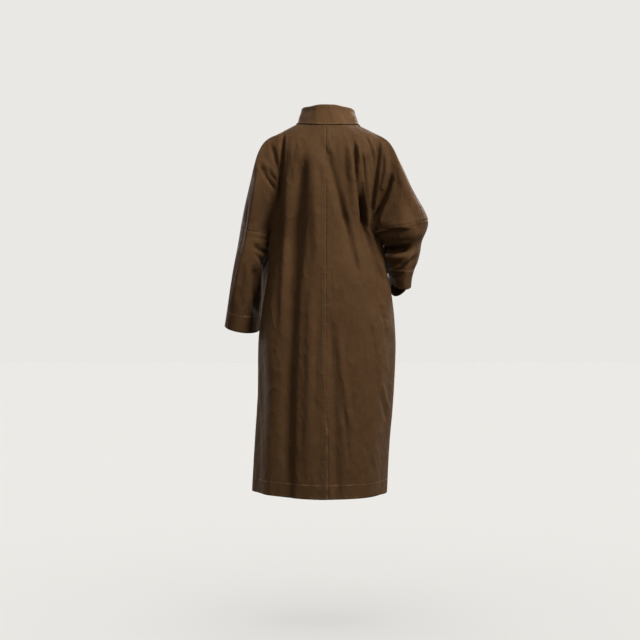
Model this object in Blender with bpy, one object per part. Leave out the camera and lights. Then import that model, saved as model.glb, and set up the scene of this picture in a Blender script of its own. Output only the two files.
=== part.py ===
"""A long duster coat with a stand collar, in the shape that it has when it is worn.

The cloth is a thin wall all round. Its outer face is lofted through rings: open rings run from
centre front round the back to centre front, and below the underarm they split into one ring for
the trunk and one for each sleeve. The rings are worked out from the tables of stations below.

Metres, +Z up. The origin is in the neck opening, level with the centre back neck seam.
The front faces -Y, and +X is the wearer's left.
"""

import math
from typing import NamedTuple

import bpy
import numpy as np

# The cloth, in metres
CLOTH = 0.0018  # one layer of the shell
TURNED = 0.0030  # the wall where a hem or cuff is turned up
COLLAR_CLOTH = 0.0028  # two layers and an interlining
SEAM_GAP = 0.0003

# The rows and columns of the loft
TRUNK_COLUMNS = 16  # from a centre line to the side
SLEEVE_COLUMNS = 8  # from the underarm seam to the outermost line of the sleeve
SEAM_COLUMN = 6  # the overarm seam lies behind the outermost line, on this column of the back
UPPER_ROWS = 15
TRUNK_ROWS = 17
SLEEVE_ROWS = 15
UNDERARM = 5  # the station where the sleeves part from the trunk
HEM = 10
CUFF = 9
HEM_DEPTH = 0.045
CUFF_DEPTH = 0.050
HEM_STEP = 0.003  # the height over which the wall thickens at a turned hem

# The front lap, the back vent and the buttons
LAP = 0.024  # how far each front reaches past centre front, the width of the first column
LAP_LIFT = 0.0038  # how far the upper front stands off the lower one
LAP_FADE = 2.5  # the columns over which that lift fades
BACK_LAP = 0.0012  # the left back stands this far over the right one at the seam
BACK_LAP_FADE = 1.5  # the columns over which that fades
NECK_FADE = 0.5  # the station below the neck from which the left back stands off
VENT_TOP = -0.912
VENT_UNDERLAP_COLUMNS = 2
UNDERLAP_ABOVE = 0.03  # how far the strip behind the vent may reach above it
UNDERLAP_GAP = 0.0006  # how far it lies under the turned hem
BUTTON_RADIUS = 0.0125
BUTTON_THICKNESS = 0.0036
BUTTON_OFF = 0.0008  # its thread holds it this far off the cloth
BUTTON_HEIGHTS = (-0.105, -0.255, -0.405, -0.555, -0.705)
BUTTON_SEGMENTS = 16

# The collar
COLLAR_BACK = 0.0585  # its height at centre back
COLLAR_SIDE = 0.042
COLLAR_FRONT = 0.052
COLLAR_LEAN = 0.012  # how far its top leans in towards the neck
COLLAR_LAP = 0.0055  # how far its lower edge comes down over the body
COLLAR_OFF = 0.0023  # how far its inside stands off the body there
COLLAR_LAP_FADE = 0.020  # the width over which it comes back from the front lap's thickness
COLLAR_ROWS = 5
COLLAR_END = 0.0015  # how far each end stops from centre front

EARTH_BROWN = (0.115, 0.060, 0.030, 1.0)
COLLAR_BROWN = (0.135, 0.075, 0.040, 1.0)
HORN_BROWN = (0.030, 0.016, 0.009, 1.0)
COTTON_ROUGHNESS = 0.72
HORN_ROUGHNESS = 0.35


class Centre(NamedTuple):
    """Centre back and centre front at one station: how far out the cloth is, and how high."""

    back: float
    back_height: float
    front: float
    front_height: float


CENTRE_LINES = (
    Centre(0.075, 0.000, 0.066, -0.052),  # neckline
    Centre(0.097, -0.052, 0.086, -0.092),
    Centre(0.112, -0.112, 0.102, -0.142),
    Centre(0.120, -0.182, 0.113, -0.202),
    Centre(0.124, -0.260, 0.118, -0.272),
    Centre(0.127, -0.345, 0.121, -0.348),  # underarm
    Centre(0.133, -0.480, 0.124, -0.482),
    Centre(0.141, -0.640, 0.130, -0.640),
    Centre(0.150, -0.820, 0.138, -0.815),
    Centre(0.158, -0.982, 0.144, -0.974),
    Centre(0.164, -1.133, 0.150, -1.120),  # hem
)


class Shoulder(NamedTuple):
    """One station over the shoulder. The fold is the line that runs from the neck to the underarm
    and parts the trunk from the sleeve, and the arm line is the outermost line of the sleeve."""

    fold_x: float
    fold_out: float  # how far behind and before the shoulder line
    fold_height: float
    arm_x: float
    arm_y: float
    arm_height: float
    crown: float  # how far the sleeve's back and front stand out from the arm line
    pinch: float  # 0 where the cloth runs on over the fold, 1 where it turns back


SHOULDERS = {
    1: (
        Shoulder(0.075, 0.036, 0.0045, 0.0850, 0.000, 0.0058, 0.009, 0.0),
        Shoulder(0.104, 0.068, -0.024, 0.1395, 0.000, -0.0260, 0.040, 0.0),
        Shoulder(0.130, 0.084, -0.066, 0.1857, -0.002, -0.0570, 0.072, 0.22),
        Shoulder(0.139, 0.072, -0.128, 0.2153, -0.004, -0.1270, 0.086, 0.44),
        Shoulder(0.149, 0.046, -0.228, 0.2460, -0.005, -0.2320, 0.092, 0.56),
        Shoulder(0.163, 0.000, -0.345, 0.2640, -0.006, -0.3180, 0.092, 0.60),
    ),
    -1: (
        Shoulder(0.087, 0.036, 0.0020, 0.0990, 0.000, 0.0005, 0.010, 0.0),
        Shoulder(0.120, 0.068, -0.027, 0.1440, 0.000, -0.0240, 0.038, 0.0),
        Shoulder(0.152, 0.082, -0.062, 0.1910, 0.002, -0.0595, 0.066, 0.22),
        Shoulder(0.155, 0.070, -0.123, 0.2388, 0.005, -0.1475, 0.078, 0.44),
        Shoulder(0.147, 0.045, -0.235, 0.2785, 0.008, -0.2179, 0.080, 0.56),
        Shoulder(0.150, 0.000, -0.325, 0.3172, 0.008, -0.2936, 0.084, 0.60),
    ),
}


class Side(NamedTuple):
    """The side seam at one station below the underarm."""

    x: float
    y: float
    height: float
    turn: float  # degrees that the cloth still runs outwards where it passes the seam


SIDES = {
    1: (
        Side(0.1815, 0.004, -0.480, -8.0),
        Side(0.2055, 0.012, -0.640, -2.0),
        Side(0.2095, 0.020, -0.818, 10.0),
        Side(0.2192, 0.026, -0.976, 12.0),
        Side(0.2270, 0.030, -1.119, 12.0),
    ),
    -1: (
        Side(0.1950, 0.000, -0.480, 3.0),
        Side(0.2140, 0.006, -0.640, 5.0),
        Side(0.2090, 0.012, -0.818, 6.0),
        Side(0.1955, 0.016, -0.979, 7.0),
        Side(0.1880, 0.018, -1.126, 7.0),
    ),
}


class Arm(NamedTuple):
    """A ring of the lower sleeve: its inner and outer ends, and its depth behind and before them."""

    in_x: float
    in_y: float
    in_height: float
    out_x: float
    out_y: float
    out_height: float
    back: float
    front: float
    back_drop: float  # how much lower the ring's back is than its ends
    front_drop: float
    turn: float  # degrees that its back is turned outwards


ARMS = {
    1: (
        Arm(0.1830, -0.030, -0.430, 0.2770, -0.014, -0.420, 0.084, 0.080, 0.004, -0.004, 14),
        Arm(0.1940, -0.046, -0.520, 0.2935, -0.030, -0.510, 0.080, 0.072, 0.008, -0.008, 15),
        Arm(0.2040, -0.054, -0.582, 0.3030, -0.042, -0.562, 0.074, 0.068, 0.011, -0.011, 14),
        Arm(0.2075, -0.060, -0.632, 0.3125, -0.052, -0.609, 0.072, 0.066, 0.013, -0.013, 12),
    ),
    -1: (
        Arm(0.1830, -0.005, -0.352, 0.2977, 0.000, -0.3555, 0.070, 0.076, 0.010, 0.000, 4),
        Arm(0.1850, -0.020, -0.405, 0.2867, -0.020, -0.410, 0.078, 0.080, 0.008, 0.006, 6),
        Arm(0.1950, -0.034, -0.448, 0.2673, -0.034, -0.4495, 0.076, 0.082, 0.012, 0.016, 8),
        Arm(0.2030, -0.045, -0.484, 0.2620, -0.045, -0.4840, 0.078, 0.084, 0.020, 0.038, 8),
    ),
}


class Fold(NamedTuple):
    """A fold between two places. On the trunk, across runs from 0 at the centre line to 1 at the
    side, and along is the height. On a sleeve, across runs from 0 at the underarm seam to 1 at the
    outermost line, and along is the station. Across is negative on the front of a sleeve, and
    the trunk on the wearer's right. A positive depth is a trough, a negative one a ridge."""

    where: str  # trunk back, trunk front, left sleeve or right sleeve
    across_from: float
    along_from: float
    across_to: float
    along_to: float
    width: float
    depth: float


FOLDS = (
    Fold("trunk back", 0.34, -0.150, 0.27, -1.250, 0.021, 0.0095),
    Fold("trunk back", 0.62, -0.230, 0.58, -1.250, 0.026, -0.0060),
    Fold("trunk back", 0.82, -0.500, 0.80, -1.250, 0.024, 0.0060),
    Fold("trunk back", 0.12, -0.180, 0.12, -1.250, 0.022, -0.0045),
    Fold("trunk back", -0.09, -0.120, -0.30, -0.440, 0.020, 0.0070),
    Fold("trunk back", -0.32, -0.110, -0.46, -0.480, 0.018, -0.0050),
    Fold("trunk back", -0.60, -0.120, -0.80, -0.470, 0.017, 0.0130),
    Fold("trunk back", -0.12, -0.620, -0.10, -1.250, 0.024, 0.0050),
    Fold("trunk back", -0.45, -0.600, -0.42, -1.250, 0.036, -0.0060),
    Fold("trunk back", -0.78, -0.660, -0.74, -1.250, 0.026, 0.0050),
    Fold("trunk front", 0.30, -0.220, 0.34, -1.250, 0.026, 0.0075),
    Fold("trunk front", 0.55, -0.280, 0.60, -1.250, 0.028, -0.0060),
    Fold("trunk front", 0.80, -0.480, 0.80, -1.250, 0.026, 0.0070),
    Fold("trunk front", -0.34, -0.220, -0.30, -1.250, 0.026, 0.0070),
    Fold("trunk front", -0.60, -0.260, -0.55, -1.250, 0.028, -0.0065),
    Fold("trunk front", -0.82, -0.500, -0.80, -1.250, 0.026, 0.0060),
    Fold("left sleeve", 0.38, 2.20, 0.24, 4.30, 0.018, 0.0080),
    Fold("left sleeve", 0.62, 1.80, 0.30, 3.90, 0.018, -0.0040),
    Fold("left sleeve", 0.20, 4.75, 0.72, 5.20, 0.020, 0.0060),
    Fold("left sleeve", -0.25, 5.90, -0.70, 6.40, 0.022, 0.0050),
    Fold("left sleeve", -0.30, 2.60, -0.25, 4.40, 0.024, 0.0065),
    Fold("right sleeve", 0.30, 1.60, 0.22, 4.50, 0.020, 0.0090),
    Fold("right sleeve", 0.62, 2.40, 0.34, 4.60, 0.022, 0.0060),
    Fold("right sleeve", 0.10, 5.35, 0.80, 5.25, 0.018, 0.0080),
    Fold("right sleeve", 0.15, 6.45, 0.80, 6.00, 0.020, 0.0070),
    Fold("right sleeve", 0.12, 7.40, 0.78, 6.85, 0.018, 0.0060),
    Fold("right sleeve", -0.20, 5.60, -0.80, 5.80, 0.024, 0.0065),
    Fold("right sleeve", -0.20, 6.90, -0.80, 7.10, 0.022, 0.0060),
    Fold("right sleeve", -0.30, 2.60, -0.25, 4.50, 0.024, 0.0065),
)
QUARTER_GIRTH = 0.26  # a mean length from a centre line to the side, for the width of folds
SLEEVE_GIRTH = 0.20  # a mean length from the underarm seam to the outermost line
STATION_LENGTH = 0.09  # a mean length between two stations of a sleeve

VALLEY_PASSES = 12  # how often the valley between trunk and sleeve is evened out

# How the rings bend
NECK_DROP = 0.016  # how much lower the fold line meets the front neckline than the back one
FRONT_DEPTH = 0.90  # how far the fold lines stand out in front, as a share of behind
CENTRE_REACH = 0.56  # how flat the cloth lies across the centre lines, as a share of the width
CENTRE_DROP = 0.12  # how much of the drop to the side is made by there
SIDE_REACH = 0.58  # how square the trunk turns at its sides, as a share of its depth
CUBIC_CROWN = 0.75  # a cubic's middle lies this share of the way to its two middle points


class Level(NamedTuple):
    """A ring of a button, as shares of its radius and of its thickness."""

    radius: float
    height: float


BUTTON_PROFILE = (
    Level(0.0, 0.55),
    Level(0.55, 0.55),
    Level(0.70, 1.0),
    Level(0.92, 1.0),
    Level(1.0, 0.70),
    Level(1.0, 0.25),
    Level(0.85, 0.0),
    Level(0.0, 0.0),
)

FRONT, BACK = -1, 1
LEFT, RIGHT = 1, -1


def through(values):
    """A smooth curve through rows of values, one for each station from 0."""
    values = np.asarray(values, float)
    last = len(values) - 1

    def at(place):
        place = np.clip(place, 0.0, last)
        i = min(int(place), last - 1)
        t = place - i
        before = values[max(i - 1, 0)]
        start, end = values[i], values[i + 1]
        after = values[min(i + 2, last)]
        leaving = (end - before) / (2.0 if i else 1.0)
        arriving = (after - start) / (2.0 if i + 2 <= last else 1.0)
        return (
            start * (2 * t**3 - 3 * t**2 + 1)
            + leaving * (t**3 - 2 * t**2 + t)
            + end * (3 * t**2 - 2 * t**3)
            + arriving * (t**3 - t**2)
        )

    return at


def mixed(a, b, share):
    return a * (1 - share) + b * share


def unit(vector):
    return vector / max(np.linalg.norm(vector), 1e-9)


def bezier(start, leave, arrive, end, columns, first=None):
    """Points along a cubic from start to end, with the two points that it bends towards. Where a
    first width is given, the first column is that wide."""
    t = np.linspace(0.0, 1.0, columns + 1)
    if first:
        begin = first / (3 * np.linalg.norm(leave - start))
        t = np.concatenate([[0.0], np.linspace(begin, 1.0, columns)])
    t = t[:, None]
    return (
        start * (1 - t) ** 3
        + leave * 3 * t * (1 - t) ** 2
        + arrive * 3 * t**2 * (1 - t)
        + end * t**3
    )


class Quarter:
    """The lines that the rings of one side, left or right, and one face, back or front, run through."""

    def __init__(self, side, face):
        self.side, self.face = side, face
        if face == BACK:
            centre = [(0.0, c.back, c.back_height) for c in CENTRE_LINES]
        else:
            centre = [(0.0, -c.front, c.front_height) for c in CENTRE_LINES]
        self.centre = through(centre)
        neck_drop = 0.0 if face == BACK else NECK_DROP
        depth = 1.0 if face == BACK else FRONT_DEPTH
        shoulders, arms = SHOULDERS[side], ARMS[side]
        fold = [
            (side * s.fold_x, face * depth * s.fold_out, s.fold_height - neck_drop * (1 - i / UNDERARM))
            for i, s in enumerate(shoulders)
        ]
        seam = [(side * s.x, s.y, s.height) for s in SIDES[side]]
        self.side_line = through(fold + seam)
        self.turn = through([[0.0]] * len(shoulders) + [[s.turn] for s in SIDES[side]])
        self.inner = through(fold + [(side * a.in_x, a.in_y, a.in_height) for a in arms])
        outer = [(side * s.arm_x, s.arm_y, s.arm_height) for s in shoulders]
        self.outer = through(outer + [(side * a.out_x, a.out_y, a.out_height) for a in arms])
        deep = [a.back if face == BACK else a.front for a in arms]
        drop = [a.back_drop if face == BACK else a.front_drop for a in arms]
        self.crown = through([[s.crown] for s in shoulders] + [[d] for d in deep])
        self.drop = through([[0.0]] * len(shoulders) + [[d] for d in drop])
        self.ring_turn = through([[0.0]] * len(shoulders) + [[a.turn] for a in arms])
        self.pinch = through([[s.pinch] for s in shoulders] + [[1.0]] * len(SIDES[side]))

    def passing(self, place):
        """The way the cloth runs where the trunk meets the sleeve or the other face."""
        return unit(self.outer(place) - self.centre(place))

    def trunk_arc(self, place):
        """The ring from the centre line to the fold line or the side seam."""
        start, end = self.centre(place), self.side_line(place)
        turn = math.radians(self.turn(place)[0])
        folded = np.array([self.side * math.sin(turn), -self.face * math.cos(turn), 0.0])
        pinch = self.pinch(place)[0]
        arriving = unit(mixed(self.passing(place), folded, pinch)) if pinch < 1 else folded
        reach = mixed(np.linalg.norm(end - start) / 3, abs(start[1] - end[1]) * SIDE_REACH, pinch)
        leave = start + np.array([CENTRE_REACH * end[0], 0.0, CENTRE_DROP * (end[2] - start[2])])
        return bezier(start, leave, end - arriving * reach, end, TRUNK_COLUMNS, LAP)

    def sleeve_arc(self, place):
        """The ring from the fold line or the underarm seam to the outermost line of the sleeve."""
        start, end = self.inner(place), self.outer(place)
        pinch = self.pinch(place)[0]
        crown = self.crown(place)[0] / CUBIC_CROWN
        turn = math.radians(self.ring_turn(place)[0])
        outwards = self.face * np.array([self.side * math.sin(turn), math.cos(turn), 0.0])
        leaving = unit(mixed(self.passing(place), outwards, pinch)) if pinch < 1 else outwards
        reach = mixed(np.linalg.norm(end - start) / 3, crown + abs(end[1] - start[1]), pinch)
        lower = np.array([0.0, 0.0, -self.drop(place)[0] / CUBIC_CROWN])
        leave = start + leaving * reach + lower
        arrive = end + outwards * crown + lower
        return bezier(start, leave, arrive, end, SLEEVE_COLUMNS)


def valley_share(place):
    """How fully the valley is rounded at a point: 1 on its line, fading to both sides of it."""
    _, _, region, column, station = place
    off = TRUNK_COLUMNS - column if region == "trunk" else column
    below = math.exp(-(((station - UNDERARM) / 0.45) ** 2)) if station > UNDERARM else 1.0
    width = 1.8 + 0.8 * float(smooth_step(station - 3.8))
    return math.exp(-((off / width) ** 2)) * below * float(smooth_step((station - 1.2) / 1.5))


def smooth_step(x):
    x = np.clip(x, 0.0, 1.0)
    return x * x * (3 - 2 * x)


class Surface:
    """The outer face of the whole coat as one mesh: points, each with its place on the loft, and
    four-cornered cells, each known by its region, side, face, row and column."""

    def __init__(self):
        self.points, self.places = [], []
        self.names, self.cells = {}, {}

    def add(self, name, point, place):
        if name not in self.names:
            self.names[name] = len(self.points)
            self.points.append(point)
            self.places.append(place)
        return self.names[name]

    def add_grid(self, key, names):
        """Cells between rows of point names. Their corners run so that the face looks outwards."""
        side, face = key[1], key[2]
        for i in range(len(names) - 1):
            for j in range(len(names[i]) - 1):
                corners = [names[i][j], names[i + 1][j], names[i + 1][j + 1], names[i][j + 1]]
                if side * face > 0:
                    corners.reverse()
                self.cells[(*key, i, j)] = corners

    def links(self):
        """For each point, the points next to it."""
        links = [set() for _ in self.points]
        for corners in self.cells.values():
            for k in range(4):
                links[corners[k]] |= {corners[k - 1], corners[(k + 1) % 4]}
        return [sorted(near) for near in links]

    def relax(self):
        """Rounds the valley between the trunk and each sleeve, and the underarm at its lower end."""
        links, points = self.links(), np.asarray(self.points)
        share = np.array([valley_share(place) for place in self.places])
        moving = np.flatnonzero(share > 0.01)
        for _ in range(VALLEY_PASSES):
            middles = np.array([points[links[i]].mean(0) for i in moving])
            points[moving] += (middles - points[moving]) * 0.5 * share[moving, None]
        self.points = points

    def normals(self):
        points = np.asarray(self.points)
        total = np.zeros_like(points)
        links = self.links()
        for corners in self.cells.values():
            a, b, c, d = points[corners]
            total[corners] += unit(np.cross(c - a, d - b))
        total /= np.linalg.norm(total, axis=1)[:, None]
        for side in (LEFT, RIGHT):
            total[self.names[ring_name(("upper", UPPER_ROWS), side, BACK, TRUNK_COLUMNS)]] = [0, 0, -1]
        even = np.array([total[i] + total[near].mean(0) for i, near in enumerate(links)])
        even /= np.linalg.norm(even, axis=1)[:, None]
        return even


def trunk_places():
    """The rows of the trunk below the underarm, with two close rows where the hem is turned up."""
    drop = CENTRE_LINES[HEM - 1].back_height - CENTRE_LINES[HEM].back_height
    turned = HEM - HEM_DEPTH / drop
    rows = np.linspace(UNDERARM, turned - HEM_STEP / drop, TRUNK_ROWS - 2)
    return [*rows, turned, (turned + HEM) / 2, HEM]


def sleeve_places(side):
    """The rows of the lower sleeve, with two close rows where the cuff is turned up."""
    last, before = ARMS[side][-1], ARMS[side][-2]
    drop = before.out_height - last.out_height
    turned = CUFF - min(CUFF_DEPTH / drop, 1.4)
    rows = np.linspace(UNDERARM, turned - HEM_STEP / drop, SLEEVE_ROWS - 2)
    return [*rows, turned, (turned + CUFF) / 2, CUFF]


def folds_at(where, across, along):
    """How far the folds move a point in, from its place across and along that part of the coat."""
    across_length, along_length = QUARTER_GIRTH, 1.0
    if "sleeve" in where:
        across_length, along_length = SLEEVE_GIRTH, STATION_LENGTH
    size = np.array([across_length, along_length])
    point = np.array([across, along]) * size
    moved = 0.0
    for fold in FOLDS:
        if fold.where != where:
            continue
        start = np.array([fold.across_from, fold.along_from]) * size
        end = np.array([fold.across_to, fold.along_to]) * size
        share = np.clip(np.dot(point - start, end - start) / np.dot(end - start, end - start), 0, 1)
        off = np.linalg.norm(point - mixed(start, end, share)) / fold.width
        moved += fold.depth * math.exp(-off * off)
    return moved


def loft():
    """The coat's outer face, before it is cut into pieces."""
    surface = Surface()
    uppers = np.linspace(0, UNDERARM, UPPER_ROWS + 1)
    for side in (LEFT, RIGHT):
        for face in (BACK, FRONT):
            quarter = Quarter(side, face)
            for region, places in (
                ("upper", uppers),
                ("trunk", trunk_places()),
                ("sleeve", sleeve_places(side)),
            ):
                grid = []
                for i, place in enumerate(places):
                    names = []
                    at = ("upper", UPPER_ROWS) if i == 0 and region != "upper" else (region, i)
                    if region != "sleeve":
                        for j, point in enumerate(quarter.trunk_arc(place)):
                            name = ring_name(at, side, face, j)
                            names.append(surface.add(name, point, (side, face, "trunk", j, place)))
                    if region != "trunk":
                        for j, point in enumerate(quarter.sleeve_arc(place)):
                            name = ring_name(at, side, face, TRUNK_COLUMNS + j)
                            index = surface.add(name, point, (side, face, "sleeve", j, place))
                            if region == "sleeve" or j:
                                names.append(index)
                    grid.append(names)
                surface.add_grid((region, side, face), grid)
    return surface


def ring_name(at, side, face, column):
    """One name for each point of the loft, the same on both faces and sides where they meet."""
    region, row = at
    if column == 0:
        return (region, row, "centre", face)
    if column == TRUNK_COLUMNS + SLEEVE_COLUMNS:
        return (region, row, "outermost", side)
    if column == TRUNK_COLUMNS and (region != "upper" or row == UPPER_ROWS):
        return (region, row, "underarm", side)
    return (region, row, side, face, column)


def fold(surface):
    """Moves the outer face along its normals by its folds and creases."""
    normals = surface.normals()
    points = np.asarray(surface.points)
    for i, (side, face, region, column, place) in enumerate(surface.places):
        if region == "trunk":
            where = "trunk back" if face == BACK else "trunk front"
            moved = folds_at(where, side * column / TRUNK_COLUMNS, points[i][2])
            moved *= smooth_step((TRUNK_COLUMNS - column) / 1.5)
            moved *= smooth_step(0.4 * column) if face == FRONT else 1.0
        else:
            where = "left sleeve" if side == LEFT else "right sleeve"
            moved = folds_at(where, face * column / SLEEVE_COLUMNS, place)
            moved *= smooth_step(0.5 * column) * smooth_step(2 * (CUFF - place))
        points[i] -= normals[i] * moved
    surface.points = points
    return surface


def halves(points, cell):
    """The two triangles of a cell, parted along its shorter diagonal."""
    a, b, c, d = cell
    if np.linalg.norm(points[a] - points[c]) <= np.linalg.norm(points[b] - points[d]):
        return (a, b, c), (a, c, d)
    return (a, b, d), (b, c, d)


def rim(edges, inner):
    """Triangles that close a wall at its border. Points are numbered so that a point of the inner
    face comes that many after the point of the outer face."""
    faces = []
    for a, b in edges:
        if a < b:
            faces += [[b, a, b + inner], [a, a + inner, b + inner]]
        else:
            faces += [[b, a, a + inner], [b, a + inner, b + inner]]
    return faces


class Wall:
    """One cut piece: a run of the surface's cells, thickened inwards into a closed solid."""

    def __init__(self, surface, normals, cells, lift=None, thickness=None, gap=SEAM_GAP / 2):
        lift = lift or (lambda place: 0.0)
        thickness = thickness or (lambda place: CLOTH)
        used = sorted({i for corners in cells for i in corners})
        number = {i: n for n, i in enumerate(used)}
        split = [half for cell in cells for half in halves(surface.points, cell)]
        self.faces = [[number[i] for i in half] for half in split]
        outer = np.array([surface.points[i] for i in used])
        normal = np.array([normals[i] for i in used])
        places = [surface.places[i] for i in used]
        outer = outer + normal * np.array([lift(p) for p in places])[:, None]
        inner = outer - normal * np.array([thickness(p) for p in places])[:, None]
        shift = self.seam_shift(outer, normal) * gap
        self.points = np.concatenate([outer + shift, inner + shift])
        self.half = len(used)

    def edges(self):
        """The piece's border, as directed edges of the cells that own them."""
        seen = {(f[k], f[(k + 1) % 3]) for f in self.faces for k in range(3)}
        return [(a, b) for a, b in sorted(seen) if (b, a) not in seen]

    def seam_shift(self, outer, normal):
        """The way each border point moves back from the seam, square to the border."""
        shift = np.zeros_like(outer)
        for a, b in self.edges():
            for i in (a, b):
                away = unit(np.cross(normal[i], outer[b] - outer[a]))
                shift[i] += away
        length = np.linalg.norm(shift, axis=1)
        return np.where(length[:, None] > 0.5, shift / np.maximum(length, 1)[:, None], 0.0)

    def solid(self, name, colour, roughness):
        faces = [list(f) for f in self.faces]
        faces += [[i + self.half for i in reversed(f)] for f in self.faces]
        faces += rim(self.edges(), self.half)
        return make_object(name, self.points, faces, colour, roughness)


def make_material(name, colour, roughness):
    material = bpy.data.materials.new(name)
    material.use_nodes = True
    shader = material.node_tree.nodes["Principled BSDF"]
    shader.inputs["Base Color"].default_value = colour
    shader.inputs["Roughness"].default_value = roughness
    shader.inputs["Metallic"].default_value = 0.0
    return material


def make_object(name, points, faces, colour, roughness):
    mesh = bpy.data.meshes.new(name)
    mesh.from_pydata([tuple(p) for p in points], [], faces)
    mesh.validate()
    mesh.update()
    mesh.shade_smooth()
    mesh.set_sharp_from_angle(angle=math.radians(50))
    obj = bpy.data.objects.new(name, mesh)
    obj.data.materials.append(make_material(name, colour, roughness))
    bpy.context.scene.collection.objects.link(obj)
    return obj


def panel_cells(surface, side, face):
    """The cells of one body panel, which runs from the neck to the hem and out to the sleeve seam."""
    chosen = []
    lap = 1 if face == FRONT else 0
    for (region, s, f, i, j), corners in surface.cells.items():
        if region == "sleeve":
            continue
        over_arm = region == "upper" and j >= TRUNK_COLUMNS + SEAM_COLUMN
        mine = s == side and (f == face and not (face == BACK and over_arm))
        wrapped = s == side and face == FRONT and f == BACK and over_arm
        lapped = s != side and f == face and j < lap and (region, i) != ("upper", 0)
        if mine or wrapped or lapped:
            chosen.append(corners)
    return chosen


def sleeve_cells(surface, side, face):
    """The cells of the back or front half of a lower sleeve, parted at the two sleeve seams."""
    chosen = []
    for (region, s, f, i, j), corners in surface.cells.items():
        if region != "sleeve" or s != side:
            continue
        behind_seam = f == BACK and j < SEAM_COLUMN
        if behind_seam == (face == BACK):
            chosen.append(corners)
    return chosen


def hem_thickness(place):
    """The trunk's wall, which is double where the hem is turned up."""
    _, _, region, _, station = place
    drop = CENTRE_LINES[HEM - 1].back_height - CENTRE_LINES[HEM].back_height
    turned = region == "trunk" and station > HEM - HEM_DEPTH / drop - 1e-6
    return TURNED if turned else CLOTH


def cuff_thickness(place):
    """The sleeve's wall, which is double where the cuff is turned up."""
    side, _, _, _, station = place
    return TURNED if station > sleeve_places(side)[-3] - 1e-6 else CLOTH


def front_lift(place):
    """The way the wearer's right front stands off the left one: fully as far as a column past
    centre front, fading out over the columns beyond."""
    side, _, region, column, _ = place
    if region != "trunk":
        return 0.0
    return LAP_LIFT * (1.0 if side == LEFT else float(smooth_step(1 - (column - 1) / LAP_FADE)))


def back_lift(place):
    """The way the wearer's left back stands off the right one along the centre back seam."""
    _, _, region, column, station = place
    if region != "trunk":
        return 0.0
    below_neck = float(smooth_step(station - NECK_FADE))
    return BACK_LAP * below_neck * float(smooth_step(1 - column / BACK_LAP_FADE))


def make_panels(surface, normals):
    for side, side_name in ((LEFT, "left"), (RIGHT, "right")):
        lift = back_lift if side == LEFT else None
        back = Wall(surface, normals, panel_cells(surface, side, BACK), lift, hem_thickness)
        back.solid(f"back_{side_name}", EARTH_BROWN, COTTON_ROUGHNESS)
        lift = front_lift if side == RIGHT else None
        front = Wall(surface, normals, panel_cells(surface, side, FRONT), lift, hem_thickness)
        front.solid(f"front_{side_name}", EARTH_BROWN, COTTON_ROUGHNESS)
        for face, face_name in ((BACK, "back"), (FRONT, "front")):
            cells = sleeve_cells(surface, side, face)
            half = Wall(surface, normals, cells, None, cuff_thickness)
            half.solid(f"sleeve_{side_name}_{face_name}", EARTH_BROWN, COTTON_ROUGHNESS)


def make_vent_underlap(surface, normals):
    """The strip behind the back vent, under the left back's edge."""
    rows = trunk_places()
    centre = through([(c.back_height,) for c in CENTRE_LINES])
    first = next(i for i, place in enumerate(rows) if centre(place)[0] < VENT_TOP + UNDERLAP_ABOVE)
    chosen = []
    for (region, side, face, i, j), corners in surface.cells.items():
        if region == "trunk" and face == BACK and first <= i < len(rows) - 1:
            if j < (VENT_UNDERLAP_COLUMNS if side == LEFT else 1):
                chosen.append(corners)
    under = TURNED + UNDERLAP_GAP
    strip = Wall(surface, normals, chosen, lambda place: -under, lambda place: CLOTH)
    strip.solid("back_vent_underlap", EARTH_BROWN, COTTON_ROUGHNESS)


def neckline(surface, normals):
    """The neck edge from centre front round the wearer's left, the back and the right: its points,
    the way the cloth faces there and the way it runs down from the edge."""
    edge, facing, down = [], [], []
    for side, face in ((LEFT, FRONT), (LEFT, BACK), (RIGHT, BACK), (RIGHT, FRONT)):
        columns = list(range(0, TRUNK_COLUMNS + SLEEVE_COLUMNS + 1))
        if (side == LEFT) != (face == FRONT):
            columns.reverse()
        for column in columns if not edge else columns[1:]:
            i = surface.names[ring_name(("upper", 0), side, face, column)]
            below = surface.names[ring_name(("upper", 1), side, face, column)]
            edge.append(surface.points[i])
            facing.append(normals[i])
            down.append(unit(surface.points[below] - surface.points[i]))
    return np.array(edge), np.array(facing), np.array(down)


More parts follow.
